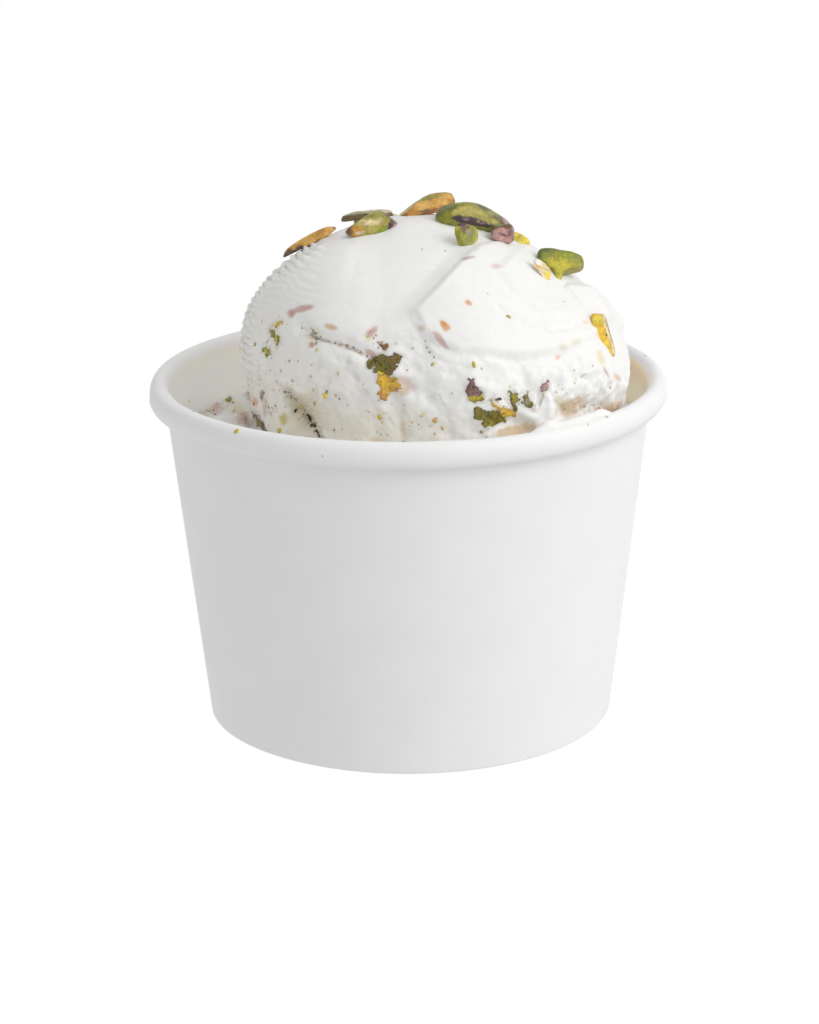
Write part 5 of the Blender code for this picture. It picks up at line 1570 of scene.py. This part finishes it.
def gelato_material():
    material, nodes, links, shader, place, tint = tinted_material("gelato", 0.42)
    mottle = noise(nodes, links, place, scale=900.0, detail=4.0)
    factor = ramp(nodes, links, mottle, (0.3, 0.7), (0.975, 1.01))
    links.new(scaled_colour(nodes, links, tint, factor), shader.inputs["Base Color"])
    fine = noise(nodes, links, place, scale=2600.0, detail=5.0)
    links.new(bump(nodes, links, fine, distance=0.00012, strength=0.35), shader.inputs["Normal"])
    links.new(ramp(nodes, links, mottle, (0.3, 0.7), (0.36, 0.52)), shader.inputs["Roughness"])
    set_inputs(shader, {
        "Subsurface Weight": 0.35, "Subsurface Radius": (1.0, 0.95, 0.85), "Subsurface Scale": 0.0008,
        "IOR": 1.36,
    })
    return material


def kernel_material():
    material, nodes, links, shader, place, tint = tinted_material("kernel", 0.42)
    mottle = noise(nodes, links, place, scale=1400.0, detail=5.0)
    factor = ramp(nodes, links, mottle, (0.3, 0.7), (0.85, 1.15))
    links.new(scaled_colour(nodes, links, tint, factor), shader.inputs["Base Color"])
    links.new(bump(nodes, links, mottle, distance=0.0002, strength=0.4), shader.inputs["Normal"])
    set_inputs(shader, {"Coat Weight": 0.15, "Coat Roughness": 0.3})
    return material


def paper_material():
    material, nodes, links, shader, place, tint = tinted_material("paper", 0.5)
    inner = nodes.new("ShaderNodeAttribute")
    inner.attribute_name = "inner"
    cloud = noise(nodes, links, place, scale=130.0, detail=3.0)
    fibre = noise(nodes, links, place, scale=1800.0, detail=4.0)
    factor = ramp(nodes, links, cloud, (0.35, 0.65), (0.99, 1.01))
    links.new(scaled_colour(nodes, links, tint, factor), shader.inputs["Base Color"])
    links.new(bump(nodes, links, fibre, distance=0.00003, strength=0.3), shader.inputs["Normal"])
    links.new(ramp(nodes, links, fibre, (0.3, 0.7), (0.45, 0.58)), shader.inputs["Roughness"])
    weight = ramp(nodes, links, inner.outputs["Fac"], (0.0, 1.0), (0.0, INNER_GLOW))
    links.new(weight, shader.inputs["Subsurface Weight"])
    set_inputs(shader, {"Subsurface Radius": (1.0, 0.88, 0.72), "Subsurface Scale": 0.003})
    return material


def make_floor():
    material = bpy.data.materials.new("floor")
    material.use_nodes = True
    nodes, links = material.node_tree.nodes, material.node_tree.links
    nodes.clear()
    glow = nodes.new("ShaderNodeEmission")
    glow.inputs["Color"].default_value = (1.0, 1.0, 1.0, 1.0)
    glow.inputs["Strength"].default_value = 1.0
    out = nodes.new("ShaderNodeOutputMaterial")
    links.new(glow.outputs["Emission"], out.inputs["Surface"])
    mesh = bpy.data.meshes.new("floor")
    corners = [(x * FLOOR_REACH, y * FLOOR_REACH, 0.0) for x, y in ((-1, -1), (1, -1), (1, 1), (-1, 1))]
    mesh.from_pydata(corners, [], [(0, 1, 2, 3)])
    mesh.materials.append(material)
    floor = bpy.data.objects.new("floor", mesh)
    floor.location.z = -FLOOR_DROP
    floor.visible_diffuse = False
    bpy.context.scene.collection.objects.link(floor)


def make_light(name, power, size, rise, turn):
    """A large soft light, turned from the front towards the right."""
    data = bpy.data.lights.new(name, "AREA")
    data.energy = power
    data.size = size
    light = bpy.data.objects.new(name, data)
    flat = LIGHT_DISTANCE * math.cos(rise)
    height = LIGHT_DISTANCE * math.sin(rise)
    place = Vector((flat * math.sin(turn), -flat * math.cos(turn), height))
    light.location = place
    light.rotation_mode = "QUATERNION"
    light.rotation_quaternion = place.to_track_quat("Z", "Y")
    bpy.context.scene.collection.objects.link(light)


def make_world():
    world = bpy.data.worlds.new("studio")
    world.use_nodes = True
    background = world.node_tree.nodes["Background"]
    background.inputs["Color"].default_value = (1.0, 1.0, 1.0, 1.0)
    background.inputs["Strength"].default_value = WORLD_LEVEL
    bpy.context.scene.world = world


def main():
    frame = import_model()
    make_camera()
    make_world()
    make_floor()
    make_light("key", KEY_POWER, KEY_SIZE, KEY_RISE, KEY_TURN)
    make_light("top", TOP_POWER, TOP_SIZE, TOP_RISE, TOP_TURN)
    paper = paper_material()
    plain, _, _, shader = new_material("paper_base", 0.5)
    shader.inputs["Base Color"].default_value = (*PAPER_TONE, 1.0)
    gelato_look = gelato_material()
    kernel_look = kernel_material()
    cup = make_cup(paper)
    base = frame["nodes"]["cup_base"]
    base.data.materials.clear()
    base.data.materials.append(plain)
    gelato = make_gelato(gelato_look)
    skin, normals = skin_of(gelato, (CELLS + 1) ** 2)
    named = specks_at(SPECKS + trail_specks(), skin, normals)
    make_specks("nut_crumbs", named + scattered_specks(skin, normals), kernel_look)
    rim = skin_of(cup, len(cup.data.vertices))
    make_specks("rim_crumbs", specks_at(RIM_SPECKS, *rim), kernel_look)
    make_flecks(gelato, kernel_look)
    make_smear(gelato_look)
    make_pieces(kernel_look)
    scene = bpy.context.scene
    scene.view_settings.view_transform = "Standard"
    scene.view_settings.look = "None"
    bpy.context.view_layer.update()


main()
